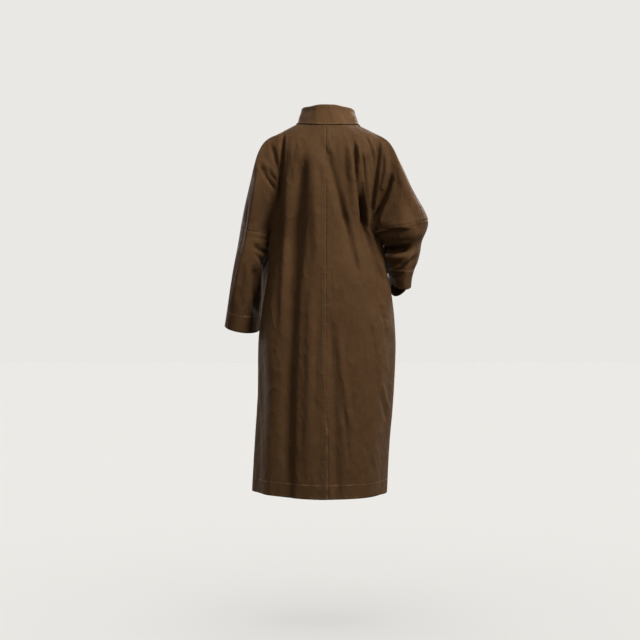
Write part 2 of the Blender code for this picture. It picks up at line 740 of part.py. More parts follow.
def make_collar(surface, normals):
    """A tall stand collar. Its lower edge is lapped over the neck edge, and its ends meet in front."""
    edge, facing, down = neckline(surface, normals)
    edge, facing, down = edge[1:-1:2], facing[1:-1:2], down[1:-1:2]
    ends = np.array([[COLLAR_END, 0.0, 0.0], [-COLLAR_END, 0.0, 0.0]]) - edge[[0, -1]] * [1, 0, 0]
    edge = np.concatenate([edge[:1] + ends[:1], edge, edge[-1:] + ends[1:]])
    facing = np.concatenate([facing[:1], facing, facing[-1:]])
    down = np.concatenate([down[:1], down, down[-1:]])
    behind = np.clip(facing[:, 1], 0, 1) ** 2
    before = np.clip(-facing[:, 1], 0, 1) ** 2
    height = COLLAR_SIDE + (COLLAR_BACK - COLLAR_SIDE) * behind + (COLLAR_FRONT - COLLAR_SIDE) * before
    past_lap = (np.abs(edge[:, 0]) - LAP) / COLLAR_LAP_FADE
    in_front = smooth_step(1 - past_lap) * (edge[:, 1] < 0)
    stand = COLLAR_OFF + COLLAR_CLOTH + LAP_LIFT * in_front
    middle = (edge.min(0) + edge.max(0)) / 2
    inwards = (middle - edge) * [1, 1, 0]
    inwards /= np.linalg.norm(inwards, axis=1)[:, None]
    rings = [edge + down * COLLAR_LAP + facing * stand[:, None], edge + facing * stand[:, None]]
    for i in range(1, COLLAR_ROWS):
        up = i / (COLLAR_ROWS - 1)
        ring = rings[1] + inwards * COLLAR_LEAN * smooth_step(up)
        ring[:, 2] += up * height
        rings.append(ring)
    outer = np.array(rings)
    normal = np.cross(np.gradient(outer, axis=1), np.gradient(outer, axis=0))
    normal /= np.linalg.norm(normal, axis=2)[:, :, None]
    inner = outer - normal * COLLAR_CLOTH
    rows, columns = outer.shape[:2]
    points = np.concatenate([outer.reshape(-1, 3), inner.reshape(-1, 3)])
    half = len(points) // 2
    cells = [
        (i * columns + j, i * columns + j + 1, (i + 1) * columns + j + 1, (i + 1) * columns + j)
        for i in range(rows - 1)
        for j in range(columns - 1)
    ]
    faces = [list(part) for cell in cells for part in halves(points, cell)]
    seen = {(f[k], f[(k + 1) % 3]) for f in faces for k in range(3)}
    border = [(a, b) for a, b in sorted(seen) if (b, a) not in seen]
    faces += [[i + half for i in reversed(f)] for f in faces]
    faces += rim(border, half)
    make_object("collar", points, faces, COLLAR_BROWN, COTTON_ROUGHNESS)


def make_buttons(surface):
    """Flat sew-through buttons with a raised rim, down the front lap."""
    front = through([(-c.front, c.front_height) for c in CENTRE_LINES])
    line = np.array([front(place) for place in np.linspace(0, HEM, 400)])
    for number, height in enumerate(BUTTON_HEIGHTS, 1):
        y = np.interp(-height, -line[:, 1], line[:, 0])
        lower = np.interp(-height + BUTTON_RADIUS, -line[:, 1], line[:, 0])
        upper = np.interp(-height - BUTTON_RADIUS, -line[:, 1], line[:, 0])
        lean = math.atan((upper - lower) / (2 * BUTTON_RADIUS))
        out = np.array([0.0, -math.cos(lean), math.sin(lean)])
        up = np.array([0.0, math.sin(lean), math.cos(lean)])
        base = np.array([0.0, y, height]) + out * (LAP_LIFT + BUTTON_OFF)
        across = np.array([1.0, 0.0, 0.0])
        points, rings = [], []
        for level in BUTTON_PROFILE:
            ring = []
            for k in range(BUTTON_SEGMENTS if level.radius else 1):
                turn = 2 * math.pi * k / BUTTON_SEGMENTS
                around = across * math.cos(turn) + up * math.sin(turn)
                ring.append(len(points))
                rise = out * BUTTON_THICKNESS * level.height
                points.append(base + around * BUTTON_RADIUS * level.radius + rise)
            rings.append(ring)
        faces = []
        for above, below in zip(rings, rings[1:]):
            for k in range(BUTTON_SEGMENTS):
                a, b = above[k % len(above)], above[(k + 1) % len(above)]
                c, d = below[(k + 1) % len(below)], below[k % len(below)]
                corners = [a, d, c, b]
                faces.append([c for n, c in enumerate(corners) if c not in corners[:n]])
        make_object(f"button_{number}", points, faces, HORN_BROWN, HORN_ROUGHNESS)


def main():
    for obj in list(bpy.data.objects):
        bpy.data.objects.remove(obj)
    surface = fold(loft())
    surface.relax()
    normals = surface.normals()
    make_panels(surface, normals)
    make_vent_underlap(surface, normals)
    make_collar(surface, normals)
    make_buttons(surface)


main()
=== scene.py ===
import functools
import math
from typing import NamedTuple

import bpy
import numpy as np
from mathutils import Matrix, Vector, noise
from mathutils.bvhtree import BVHTree


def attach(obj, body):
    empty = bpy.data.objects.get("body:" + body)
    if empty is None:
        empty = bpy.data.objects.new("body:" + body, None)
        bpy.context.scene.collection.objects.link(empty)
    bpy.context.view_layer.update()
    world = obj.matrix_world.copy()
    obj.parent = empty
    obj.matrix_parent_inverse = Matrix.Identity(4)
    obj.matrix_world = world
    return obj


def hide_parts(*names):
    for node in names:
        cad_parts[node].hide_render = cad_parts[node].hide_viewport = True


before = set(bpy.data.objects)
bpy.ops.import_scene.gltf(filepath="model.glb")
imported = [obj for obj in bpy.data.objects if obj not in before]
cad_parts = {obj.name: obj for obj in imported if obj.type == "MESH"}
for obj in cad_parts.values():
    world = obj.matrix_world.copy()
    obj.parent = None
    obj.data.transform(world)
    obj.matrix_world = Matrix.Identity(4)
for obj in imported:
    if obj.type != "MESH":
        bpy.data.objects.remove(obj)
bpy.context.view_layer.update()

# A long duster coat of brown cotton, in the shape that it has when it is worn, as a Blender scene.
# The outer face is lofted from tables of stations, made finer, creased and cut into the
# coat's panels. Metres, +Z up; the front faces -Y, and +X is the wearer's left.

bl_info = {
    "name": "Duster coat",
    "version": (1, 0, 0),
    "blender": (4, 5, 0),
    "location": "3D View > Sidebar > Duster coat",
    "description": "Builds a long duster coat of brown cotton twill, and a plain studio around it",
    "category": "Add Mesh",
}

# The rows and columns of the loft
TRUNK_COLUMNS = 16  # from a centre line to the side
SLEEVE_COLUMNS = 8  # from the underarm seam to the outermost line of the sleeve
SEAM_COLUMN = 6  # the over-arm seam lies behind the outermost line, on this column of the back
ALL_COLUMNS = TRUNK_COLUMNS + SLEEVE_COLUMNS
OVERARM = TRUNK_COLUMNS + SEAM_COLUMN
UPPER_ROWS = 15
TRUNK_ROWS = 17
SLEEVE_ROWS = 15
UNDERARM = 5  # the station where the sleeves part from the trunk
HEM = 10  # the trunk's last station
CUFF = 9  # a sleeve's last station
HEM_DEPTH = 0.045  # how much of the hem is turned up
CUFF_DEPTH = 0.050
CUFF_STATIONS = 1.4  # a turned-up cuff takes no more stations than this
HEM_STEP = 0.003  # the gap between the last even row and the turned-up edge
LEVELS = 2  # how often the mesh is made finer
SPLIT = 2**LEVELS  # so a cell of the loft gets this many rows and columns

# How the pieces lap and meet
LAP = 0.024  # the width of the first column, which each front reaches past centre front
LAP_LIFT = 0.0038  # how far the right front stands over the left one
LAP_FADE = 2.5  # the columns over which that fades out
VENT_TOP = -0.912  # the height where the back vent starts
VENT_LIFT = 0.0026  # how far the left back stands out at the vent
VENT_SINK = 0.0060  # how far the right back and the underlap lie in there
VENT_LAP = 0.0040  # how far the left back's edge reaches over the right one at the vent
UNDERLAP_START = -0.922  # the underlap's rows lie below this height
UNDERLAP_GAP = 0.0008  # between it and the cloth before it
SEAM_LIFT = 0.0005  # how far the left back stands over the right one along the centre seam
SEAM_SINK = 0.0011  # how deep a sewn seam lies in the cloth
SEAM_RIDGE = 0.0006  # how high the seam allowance stands beside it
FLATTER_SEAM = 0.35  # the share of both that the centre and elbow seams have
UNEVEN = 0.0005  # the cloth's own small unevenness
CLOTH_NOISE = ((0.9, 14.0), (0.45, 37.0))  # its shares and scales

# The collar
COLLAR_BACK = 0.0585  # its height above the neck edge at the back
COLLAR_SIDE = 0.042
COLLAR_FRONT = 0.052
COLLAR_LEAN = 0.012  # how far its top leans in
COLLAR_LAP = 0.0055  # how far its lower edge reaches down over the neck edge
COLLAR_OFF = 0.0009  # how far it stands off the cloth there, which is less than in the solid
COLLAR_LAP_FADE = 0.020  # how far from the front lap it comes back to that
COLLAR_ROWS = 5
COLLAR_END = 0.0015  # how far its two ends lie from the centre plane
COLLAR_ROLL = 0.004  # how far from a row of stitches the collar is drawn in
COLLAR_UNEVEN = 0.0009
COLLAR_NOISE = ((1.0, 24.0), (0.5, 60.0))

# The buttons and their buttonholes
BUTTON_HEIGHTS = (-0.105, -0.255, -0.405, -0.555, -0.705)
BUTTON_SEGMENTS = 48
BUTTON_STAND = 0.0012  # how far a button's back stands off the cloth
HOLE_OFF = 0.1085  # how far each thread hole lies from the middle, across and up, in diameters
HOLE_RADIUS = 0.0011
HOLE_SEGMENTS = 16
SLOPE_STEP = 0.012  # the cloth's slope under a button is measured this far above and below
BUTTONHOLE_MIDDLE = -0.011  # across from the button's middle
BUTTONHOLE_HALF = 0.0145  # half its length
BUTTONHOLE_RISE = 0.0019  # half its height
BUTTONHOLE_STITCHES = 40

# Rows of stitches
NEAR_ROW = 0.004  # how far the two rows of a felled seam lie from it
FAR_ROW = 0.010
EDGE_ROWS = (0.0, 0.006)  # the two rows along the front's edge, from its inset
# A short slanted row above the vent
VENT_ROW = ((-0.001, 0.16, -0.748), (0.012, 0.16, -0.752), (0.030, 0.16, -0.768))

# How much of the worn colour shows, from 0 to 1
SEAM_WEAR = 0.10
ARM_SEAM_WEAR = 0.13  # at the sides and on the sleeves
ELBOW_SEAM_WEAR = 0.08
HEM_WEAR = 0.4  # along the hem and the cuffs
STITCHED_WEAR = 0.45  # where a turned-up edge is stitched down
VENT_WEAR = 0.22  # on the left back's folded edge at the vent
COLLAR_WEAR = 0.3  # along its top

FRONT, BACK = -1, 1
LEFT, RIGHT = 1, -1
SIDE_NAMES = {LEFT: "left", RIGHT: "right"}


class Centre(NamedTuple):
    """Centre back and centre front at one station: how far out the cloth is, and how high."""

    back: float
    back_height: float
    front: float
    front_height: float


CENTRE_LINES = (
    Centre(0.075, 0.000, 0.066, -0.052),  # neckline
    Centre(0.097, -0.052, 0.086, -0.092),
    Centre(0.112, -0.112, 0.102, -0.142),
    Centre(0.120, -0.182, 0.113, -0.202),
    Centre(0.124, -0.260, 0.118, -0.272),
    Centre(0.127, -0.345, 0.121, -0.348),  # underarm
    Centre(0.133, -0.480, 0.124, -0.482),
    Centre(0.141, -0.640, 0.130, -0.640),
    Centre(0.150, -0.820, 0.138, -0.815),
    Centre(0.158, -0.982, 0.144, -0.974),
    Centre(0.164, -1.133, 0.150, -1.120),  # hem
)


class Shoulder(NamedTuple):
    """One station over the shoulder. The fold is the line that runs from the neck to the underarm
    and parts the trunk from the sleeve, and the arm line is the outermost line of the sleeve."""

    fold_x: float
    fold_out: float  # how far behind and before the shoulder line
    fold_height: float
    arm_x: float
    arm_y: float
    arm_height: float
    crown: float  # how far the sleeve's back and front stand out from the arm line
    pinch: float  # 0 where the cloth runs on over the fold, 1 where it turns back


SHOULDERS = {
    1: (
        Shoulder(0.075, 0.036, 0.0045, 0.0850, 0.000, 0.0058, 0.009, 0.0),
        Shoulder(0.104, 0.068, -0.024, 0.1395, 0.000, -0.0260, 0.040, 0.0),
        Shoulder(0.130, 0.084, -0.066, 0.1857, -0.002, -0.0570, 0.072, 0.22),
        Shoulder(0.139, 0.072, -0.128, 0.2153, -0.004, -0.1270, 0.086, 0.44),
        Shoulder(0.149, 0.046, -0.228, 0.2460, -0.005, -0.2320, 0.092, 0.56),
        Shoulder(0.163, 0.000, -0.345, 0.2640, -0.006, -0.3180, 0.092, 0.60),
    ),
    -1: (
        Shoulder(0.087, 0.036, 0.0020, 0.0990, 0.000, 0.0005, 0.010, 0.0),
        Shoulder(0.120, 0.068, -0.027, 0.1440, 0.000, -0.0240, 0.038, 0.0),
        Shoulder(0.152, 0.082, -0.062, 0.1910, 0.002, -0.0595, 0.066, 0.22),
        Shoulder(0.155, 0.070, -0.123, 0.2388, 0.005, -0.1475, 0.078, 0.44),
        Shoulder(0.147, 0.045, -0.235, 0.2785, 0.008, -0.2179, 0.080, 0.56),
        Shoulder(0.150, 0.000, -0.325, 0.3172, 0.008, -0.2936, 0.084, 0.60),
    ),
}


class Side(NamedTuple):
    """The side seam at one station below the underarm."""

    x: float
    y: float
    height: float
    turn: float  # degrees that the cloth still runs outwards where it passes the seam


SIDES = {
    1: (
        Side(0.1815, 0.004, -0.480, -8.0),
        Side(0.2055, 0.012, -0.640, -2.0),
        Side(0.2095, 0.020, -0.818, 10.0),
        Side(0.2192, 0.026, -0.976, 12.0),
        Side(0.2270, 0.030, -1.119, 12.0),
    ),
    -1: (
        Side(0.1950, 0.000, -0.480, 3.0),
        Side(0.2140, 0.006, -0.640, 5.0),
        Side(0.2090, 0.012, -0.818, 6.0),
        Side(0.1955, 0.016, -0.979, 7.0),
        Side(0.1880, 0.018, -1.126, 7.0),
    ),
}


class Arm(NamedTuple):
    """A ring of the lower sleeve: its inner and outer ends, and its depth behind and before them."""

    in_x: float
    in_y: float
    in_height: float
    out_x: float
    out_y: float
    out_height: float
    back: float
    front: float
    back_drop: float  # how much lower the ring's back is than its ends
    front_drop: float
    turn: float  # degrees that its back is turned outwards


ARMS = {
    1: (
        Arm(0.1830, -0.030, -0.430, 0.2770, -0.014, -0.420, 0.084, 0.080, 0.004, -0.004, 14),
        Arm(0.1940, -0.046, -0.520, 0.2935, -0.030, -0.510, 0.080, 0.072, 0.008, -0.008, 15),
        Arm(0.2040, -0.054, -0.582, 0.3030, -0.042, -0.562, 0.074, 0.068, 0.011, -0.011, 14),
        Arm(0.2075, -0.060, -0.632, 0.3125, -0.052, -0.609, 0.072, 0.066, 0.013, -0.013, 12),
    ),
    -1: (
        Arm(0.1830, -0.005, -0.352, 0.2977, 0.000, -0.3555, 0.070, 0.076, 0.010, 0.000, 4),
        Arm(0.1850, -0.020, -0.405, 0.2867, -0.020, -0.410, 0.078, 0.080, 0.008, 0.006, 6),
        Arm(0.1950, -0.034, -0.448, 0.2673, -0.034, -0.4495, 0.076, 0.082, 0.012, 0.016, 8),
        Arm(0.2030, -0.045, -0.484, 0.2620, -0.045, -0.4840, 0.078, 0.084, 0.020, 0.038, 8),
    ),
}


class Fold(NamedTuple):
    """A fold between two places. On the trunk, across runs from 0 at the centre line to 1 at the
    side, and along is the height. On a sleeve, across runs from 0 at the underarm seam to 1 at the
    outermost line, and along is the station. Across is negative on the front of a sleeve, and
    the trunk on the wearer's right. A positive depth is a trough, a negative one a ridge."""

    across_from: float
    along_from: float
    across_to: float
    along_to: float
    width: float
    depth: float


FOLDS = {
    "trunk back": (
        (0.39, -0.150, 0.44, -1.250, 0.021, 0.0095),
        (0.62, -0.230, 0.58, -1.250, 0.026, -0.0060),
        (0.82, -0.500, 0.80, -1.250, 0.024, 0.0060),
        (0.12, -0.180, 0.12, -1.250, 0.022, -0.0045),
        (-0.09, -0.120, -0.30, -0.440, 0.020, 0.0070),
        (-0.32, -0.110, -0.46, -0.480, 0.018, -0.0050),
        (-0.60, -0.120, -0.80, -0.470, 0.017, 0.0130),
        (-0.12, -0.620, -0.10, -1.250, 0.024, 0.0050),
        (-0.45, -0.600, -0.42, -1.250, 0.036, -0.0060),
        (-0.78, -0.660, -0.74, -1.250, 0.026, 0.0050),
    ),
    "trunk front": (
        (0.30, -0.220, 0.34, -1.250, 0.026, 0.0075),
        (0.55, -0.280, 0.60, -1.250, 0.028, -0.0060),
        (0.80, -0.480, 0.80, -1.250, 0.026, 0.0070),
        (-0.34, -0.220, -0.30, -1.250, 0.026, 0.0070),
        (-0.60, -0.260, -0.55, -1.250, 0.028, -0.0065),
        (-0.82, -0.500, -0.80, -1.250, 0.026, 0.0060),
    ),
    "left sleeve": (
        (0.38, 2.20, 0.24, 4.30, 0.018, 0.0080),
        (0.62, 1.80, 0.30, 3.90, 0.018, -0.0040),
        (0.20, 4.75, 0.72, 5.20, 0.020, 0.0060),
        (-0.25, 5.90, -0.70, 6.40, 0.022, 0.0050),
        (-0.30, 2.60, -0.25, 4.40, 0.024, 0.0065),
    ),
    "right sleeve": (
        (0.30, 1.60, 0.22, 4.50, 0.020, 0.0090),
        (0.62, 2.40, 0.34, 4.60, 0.022, 0.0060),
        (0.10, 5.35, 0.80, 5.25, 0.018, 0.0080),
        (0.15, 6.45, 0.80, 6.00, 0.020, 0.0070),
        (0.12, 7.40, 0.78, 6.85, 0.018, 0.0060),
        (-0.20, 5.60, -0.80, 5.80, 0.024, 0.0065),
        (-0.20, 6.90, -0.80, 7.10, 0.022, 0.0060),
        (-0.30, 2.60, -0.25, 4.50, 0.024, 0.0065),
    ),
}
QUARTER_GIRTH = 0.26  # a mean length from a centre line to the side, for the width of folds
SLEEVE_GIRTH = 0.20  # a mean length from the underarm seam to the outermost line
STATION_LENGTH = 0.09  # a mean length between two stations of a sleeve

SLEEVE_STEP = 0.08  # how much cloth lies between two stations of a sleeve, for the weave

VALLEY_PASSES = 12  # how often the valley between trunk and sleeve is evened out

# Below the underarm the cloth of trunk and sleeve bags towards each other: heights and shares
UNDERARM_FULLNESS = (
    (-0.480, 0.0), (-0.460, 0.1), (-0.430, 0.45), (-0.410, 0.7), (-0.390, 0.9),
    (-0.365, 1.0), (-0.345, 1.0), (-0.334, 0.8), (-0.322, 0.0),
)
FULLNESS_LEFT = 0.0088  # how far each of the two moves, on the wearer's left
FULLNESS_RIGHT = 0.0120

# How the rings bend
NECK_DROP = 0.016  # how much lower the fold line meets the front neckline than the back one
FRONT_DEPTH = 0.90  # how far the fold lines stand out in front, as a share of behind
CENTRE_REACH = 0.56  # how flat the cloth lies across the centre lines, as a share of the width
CENTRE_DROP = 0.12  # how much of the drop to the side is made by there
SIDE_REACH = 0.58  # how square the trunk turns at its sides, as a share of its depth
CUBIC_CROWN = 0.75  # a cubic's middle lies this share of the way to its two middle points


def through(values):
    """A smooth curve through rows of values, one for each station from 0."""
    values = np.asarray(values, float)
    last = len(values) - 1

    def at(place):
        place = np.clip(place, 0.0, last)
        i = min(int(place), last - 1)
        t = place - i
        before = values[max(i - 1, 0)]
        start, end = values[i], values[i + 1]
        after = values[min(i + 2, last)]
        leaving = (end - before) / (2.0 if i else 1.0)
        arriving = (after - start) / (2.0 if i + 2 <= last else 1.0)
        return (
            start * (2 * t**3 - 3 * t**2 + 1)
            + leaving * (t**3 - 2 * t**2 + t)
            + end * (3 * t**2 - 2 * t**3)
            + arriving * (t**3 - t**2)
        )

    return at


def mixed(a, b, share):
    return a * (1 - share) + b * share


def unit(vector):
    return vector / max(np.linalg.norm(vector), 1e-9)


def units(vectors):
    """Rows of vectors, each made 1 long."""
    return vectors / np.maximum(np.linalg.norm(vectors, axis=1), 1e-12)[:, None]


def lengths_to(points):
    """How far along a line each of its points lies."""
    steps = np.linalg.norm(np.diff(points, axis=0), axis=1)
    return np.concatenate([[0.0], np.cumsum(steps)])


def bezier(start, leave, arrive, end, columns, first=None):
    """Points along a cubic from start to end, with the two points that it bends towards. Where a
    first width is given, the first column is that wide."""
    t = np.linspace(0.0, 1.0, columns + 1)
    if first:
        begin = first / (3 * np.linalg.norm(leave - start))
        t = np.concatenate([[0.0], np.linspace(begin, 1.0, columns)])
    t = t[:, None]
    return (
        start * (1 - t) ** 3
        + leave * 3 * t * (1 - t) ** 2
        + arrive * 3 * t**2 * (1 - t)
        + end * t**3
    )


class Quarter:
    """The lines that the rings of one side, left or right, and one face, back or front, run through."""

    def __init__(self, side, face):
        self.side, self.face = side, face
        if face == BACK:
            centre = [(0.0, c.back, c.back_height) for c in CENTRE_LINES]
        else:
            centre = [(0.0, -c.front, c.front_height) for c in CENTRE_LINES]
        self.centre = through(centre)
        neck_drop = 0.0 if face == BACK else NECK_DROP
        depth = 1.0 if face == BACK else FRONT_DEPTH
        shoulders, arms = SHOULDERS[side], ARMS[side]
        fold = [
            (side * s.fold_x, face * depth * s.fold_out, s.fold_height - neck_drop * (1 - i / UNDERARM))
            for i, s in enumerate(shoulders)
        ]
        seam = [(side * s.x, s.y, s.height) for s in SIDES[side]]
        self.side_line = through(fold + seam)
        self.turn = through([[0.0]] * len(shoulders) + [[s.turn] for s in SIDES[side]])
        self.inner = through(fold + [(side * a.in_x, a.in_y, a.in_height) for a in arms])
        outer = [(side * s.arm_x, s.arm_y, s.arm_height) for s in shoulders]
        self.outer = through(outer + [(side * a.out_x, a.out_y, a.out_height) for a in arms])
        deep = [a.back if face == BACK else a.front for a in arms]
        drop = [a.back_drop if face == BACK else a.front_drop for a in arms]
        self.crown = through([[s.crown] for s in shoulders] + [[d] for d in deep])
        self.drop = through([[0.0]] * len(shoulders) + [[d] for d in drop])
        self.ring_turn = through([[0.0]] * len(shoulders) + [[a.turn] for a in arms])
        self.pinch = through([[s.pinch] for s in shoulders] + [[1.0]] * len(SIDES[side]))

    def passing(self, place):
        """The way the cloth runs where the trunk meets the sleeve or the other face."""
        return unit(self.outer(place) - self.centre(place))

    def trunk_arc(self, place):
        """The ring from the centre line to the fold line or the side seam."""
        start, end = self.centre(place), self.side_line(place)
        turn = math.radians(self.turn(place)[0])
        folded = np.array([self.side * math.sin(turn), -self.face * math.cos(turn), 0.0])
        pinch = self.pinch(place)[0]
        arriving = unit(mixed(self.passing(place), folded, pinch)) if pinch < 1 else folded
        reach = mixed(np.linalg.norm(end - start) / 3, abs(start[1] - end[1]) * SIDE_REACH, pinch)
        leave = start + np.array([CENTRE_REACH * end[0], 0.0, CENTRE_DROP * (end[2] - start[2])])
        return bezier(start, leave, end - arriving * reach, end, TRUNK_COLUMNS, LAP)

    def sleeve_arc(self, place):
        """The ring from the fold line or the underarm seam to the outermost line of the sleeve."""
        start, end = self.inner(place), self.outer(place)
        pinch = self.pinch(place)[0]
        crown = self.crown(place)[0] / CUBIC_CROWN
        turn = math.radians(self.ring_turn(place)[0])
        outwards = self.face * np.array([self.side * math.sin(turn), math.cos(turn), 0.0])
        leaving = unit(mixed(self.passing(place), outwards, pinch)) if pinch < 1 else outwards
        reach = mixed(np.linalg.norm(end - start) / 3, crown + abs(end[1] - start[1]), pinch)
        lower = np.array([0.0, 0.0, -self.drop(place)[0] / CUBIC_CROWN])
        leave = start + leaving * reach + lower
        arrive = end + outwards * crown + lower
        return bezier(start, leave, arrive, end, SLEEVE_COLUMNS)


def valley_share(place):
    """How fully the valley is rounded at a point: 1 on its line, fading to both sides of it."""
    _, _, region, column, station = place
    off = TRUNK_COLUMNS - column if region == "trunk" else column
    below = math.exp(-(((station - UNDERARM) / 0.45) ** 2)) if station > UNDERARM else 1.0
    width = 1.8 + 0.8 * float(smooth_step(station - 3.8))
    return math.exp(-((off / width) ** 2)) * below * float(smooth_step((station - 1.2) / 1.5))


def smooth_step(x):
    x = np.clip(x, 0.0, 1.0)
    return x * x * (3 - 2 * x)


class Surface:
    """The outer face of the whole coat as one mesh: points, each with its place on the loft, and
    four-cornered cells, each known by its region, side, face, row and column."""

    def __init__(self):
        self.points, self.places = [], []
        self.names, self.cells = {}, {}

    def add(self, name, point, place):
        if name not in self.names:
            self.names[name] = len(self.points)
            self.points.append(point)
            self.places.append(place)
        return self.names[name]

    def add_grid(self, key, names):
        """Cells between rows of point names."""
        for i in range(len(names) - 1):
            for j in range(len(names[i]) - 1):
                cell = (*key, i, j)
                self.cells[cell] = [names[row][column] for row, column in corners_of(cell)]

    def links(self):
        """For each point, the points next to it."""
        links = [set() for _ in self.points]
        for corners in self.cells.values():
            for k in range(4):
                links[corners[k]] |= {corners[k - 1], corners[(k + 1) % 4]}
        return [sorted(near) for near in links]

    def relax(self):
        """Rounds the valley between the trunk and each sleeve, and the underarm at its lower end."""
        links, points = self.links(), np.asarray(self.points)
        share = np.array([valley_share(place) for place in self.places])
        moving = np.flatnonzero(share > 0.01)
        for _ in range(VALLEY_PASSES):
            middles = np.array([points[links[i]].mean(0) for i in moving])
            points[moving] += (middles - points[moving]) * 0.5 * share[moving, None]
        self.points = points

    def normals(self):
        points = np.asarray(self.points)
        total = np.zeros_like(points)
        for corners in self.cells.values():
            a, b, c, d = points[corners]
            total[corners] += unit(np.cross(c - a, d - b))
        total = units(total)
        for side in (LEFT, RIGHT):
            total[self.names[ring_name(("upper", UPPER_ROWS), side, BACK, TRUNK_COLUMNS)]] = [0, 0, -1]
        links = self.links()
        return units(np.array([total[i] + total[near].mean(0) for i, near in enumerate(links)]))


def corners_of(cell):
    """The row and column of each corner of a cell, in the order that makes it face outwards."""
    _, side, face, i, j = cell
    corners = [(i, j), (i + 1, j), (i + 1, j + 1), (i, j + 1)]
    return corners[::-1] if side * face > 0 else corners


def trunk_places():
    """The rows of the trunk below the underarm, with two close rows where the hem is turned up."""
    drop = CENTRE_LINES[HEM - 1].back_height - CENTRE_LINES[HEM].back_height
    turned = HEM - HEM_DEPTH / drop
    rows = np.linspace(UNDERARM, turned - HEM_STEP / drop, TRUNK_ROWS - 2)
    rows = np.sort([*rows, *(rows[3:-1] + rows[4:]) / 2])
    return [*rows, turned, (turned + HEM) / 2, HEM]


def sleeve_places(side):
    """The rows of the lower sleeve, with two close rows where the cuff is turned up."""
    last, before = ARMS[side][-1], ARMS[side][-2]
    drop = before.out_height - last.out_height
    turned = CUFF - min(CUFF_DEPTH / drop, CUFF_STATIONS)
    rows = np.linspace(UNDERARM, turned - HEM_STEP / drop, SLEEVE_ROWS - 2)
    return [*rows, turned, (turned + CUFF) / 2, CUFF]


def folds_at(where, across, along):
    """How far the folds move a point in, from its place across and along that part of the coat."""
    size = (SLEEVE_GIRTH, STATION_LENGTH) if "sleeve" in where else (QUARTER_GIRTH, 1.0)
    point = np.array([across, along]) * size
    moved = 0.0
    for fold in map(Fold._make, FOLDS[where]):
        start = np.array([fold.across_from, fold.along_from]) * size
        end = np.array([fold.across_to, fold.along_to]) * size
        share = np.clip(np.dot(point - start, end - start) / np.dot(end - start, end - start), 0, 1)
        off = np.linalg.norm(point - mixed(start, end, share)) / fold.width
        moved += fold.depth * math.exp(-off * off)
    return moved


def loft():
    """The coat's outer face, before it is cut into pieces."""
    surface = Surface()
    uppers = np.linspace(0, UNDERARM, UPPER_ROWS + 1)
    for side in (LEFT, RIGHT):
        for face in (BACK, FRONT):
            quarter = Quarter(side, face)
            for region, places in (
                ("upper", uppers),
                ("trunk", trunk_places()),
                ("sleeve", sleeve_places(side)),
            ):
                grid = []
                for i, place in enumerate(places):
                    names = []
                    at = ("upper", UPPER_ROWS) if i == 0 and region != "upper" else (region, i)
                    if region != "sleeve":
                        for j, point in enumerate(quarter.trunk_arc(place)):
                            name = ring_name(at, side, face, j)
                            names.append(surface.add(name, point, (side, face, "trunk", j, place)))
                    if region != "trunk":
                        for j, point in enumerate(quarter.sleeve_arc(place)):
                            name = ring_name(at, side, face, TRUNK_COLUMNS + j)
                            index = surface.add(name, point, (side, face, "sleeve", j, place))
                            if region == "sleeve" or j:
                                names.append(index)
                    grid.append(names)
                surface.add_grid((region, side, face), grid)
    return surface


def ring_name(at, side, face, column):
    """One name for each point of the loft, the same on both faces and sides where they meet."""
    region, row = at
    if column == 0:
        return (region, row, "centre", face)
    if column == ALL_COLUMNS:
        return (region, row, "outermost", side)
    if column == TRUNK_COLUMNS and (region != "upper" or row == UPPER_ROWS):
        return (region, row, "underarm", side)
    return (region, row, side, face, column)


def fold(surface):
    """Moves the outer face along its normals by its folds and creases."""
    normals = surface.normals()
    points = np.asarray(surface.points)
    for i, (side, face, region, column, place) in enumerate(surface.places):
        if region == "trunk":
            where = "trunk back" if face == BACK else "trunk front"
            moved = folds_at(where, side * column / TRUNK_COLUMNS, points[i][2])
            moved *= smooth_step((TRUNK_COLUMNS - column) / 1.5)
            moved *= smooth_step(0.4 * column) if face == FRONT else 1.0
        else:
            where = "left sleeve" if side == LEFT else "right sleeve"
            moved = folds_at(where, face * column / SLEEVE_COLUMNS, place)
            moved *= smooth_step(0.5 * column) * smooth_step(2 * (CUFF - place))
        points[i] -= normals[i] * moved
    surface.points = points
    return surface


def neckline(surface, normals):
    """The neck edge from centre front round the wearer's left, the back and the right: its points,
    the way the cloth faces there and the way it runs down from the edge."""
    edge, facing, down = [], [], []
    for side, face in ((LEFT, FRONT), (LEFT, BACK), (RIGHT, BACK), (RIGHT, FRONT)):
        columns = list(range(ALL_COLUMNS + 1))
        if (side == LEFT) != (face == FRONT):
            columns.reverse()
        for column in columns if not edge else columns[1:]:
            i = surface.names[ring_name(("upper", 0), side, face, column)]
            below = surface.names[ring_name(("upper", 1), side, face, column)]
            edge.append(surface.points[i])
            facing.append(normals[i])
            down.append(unit(surface.points[below] - surface.points[i]))
    return np.array(edge), np.array(facing), np.array(down)


class Crease(NamedTuple):
    """A finer fold, as it is seen square on: it runs through three points (x, height). A positive
    depth is a trough, a negative one a ridge. Lean is how much steeper one flank is than the
    other, from -1 to 1."""

    start: tuple
    middle: tuple
    end: tuple
    width: float
    depth: float
    lean: float


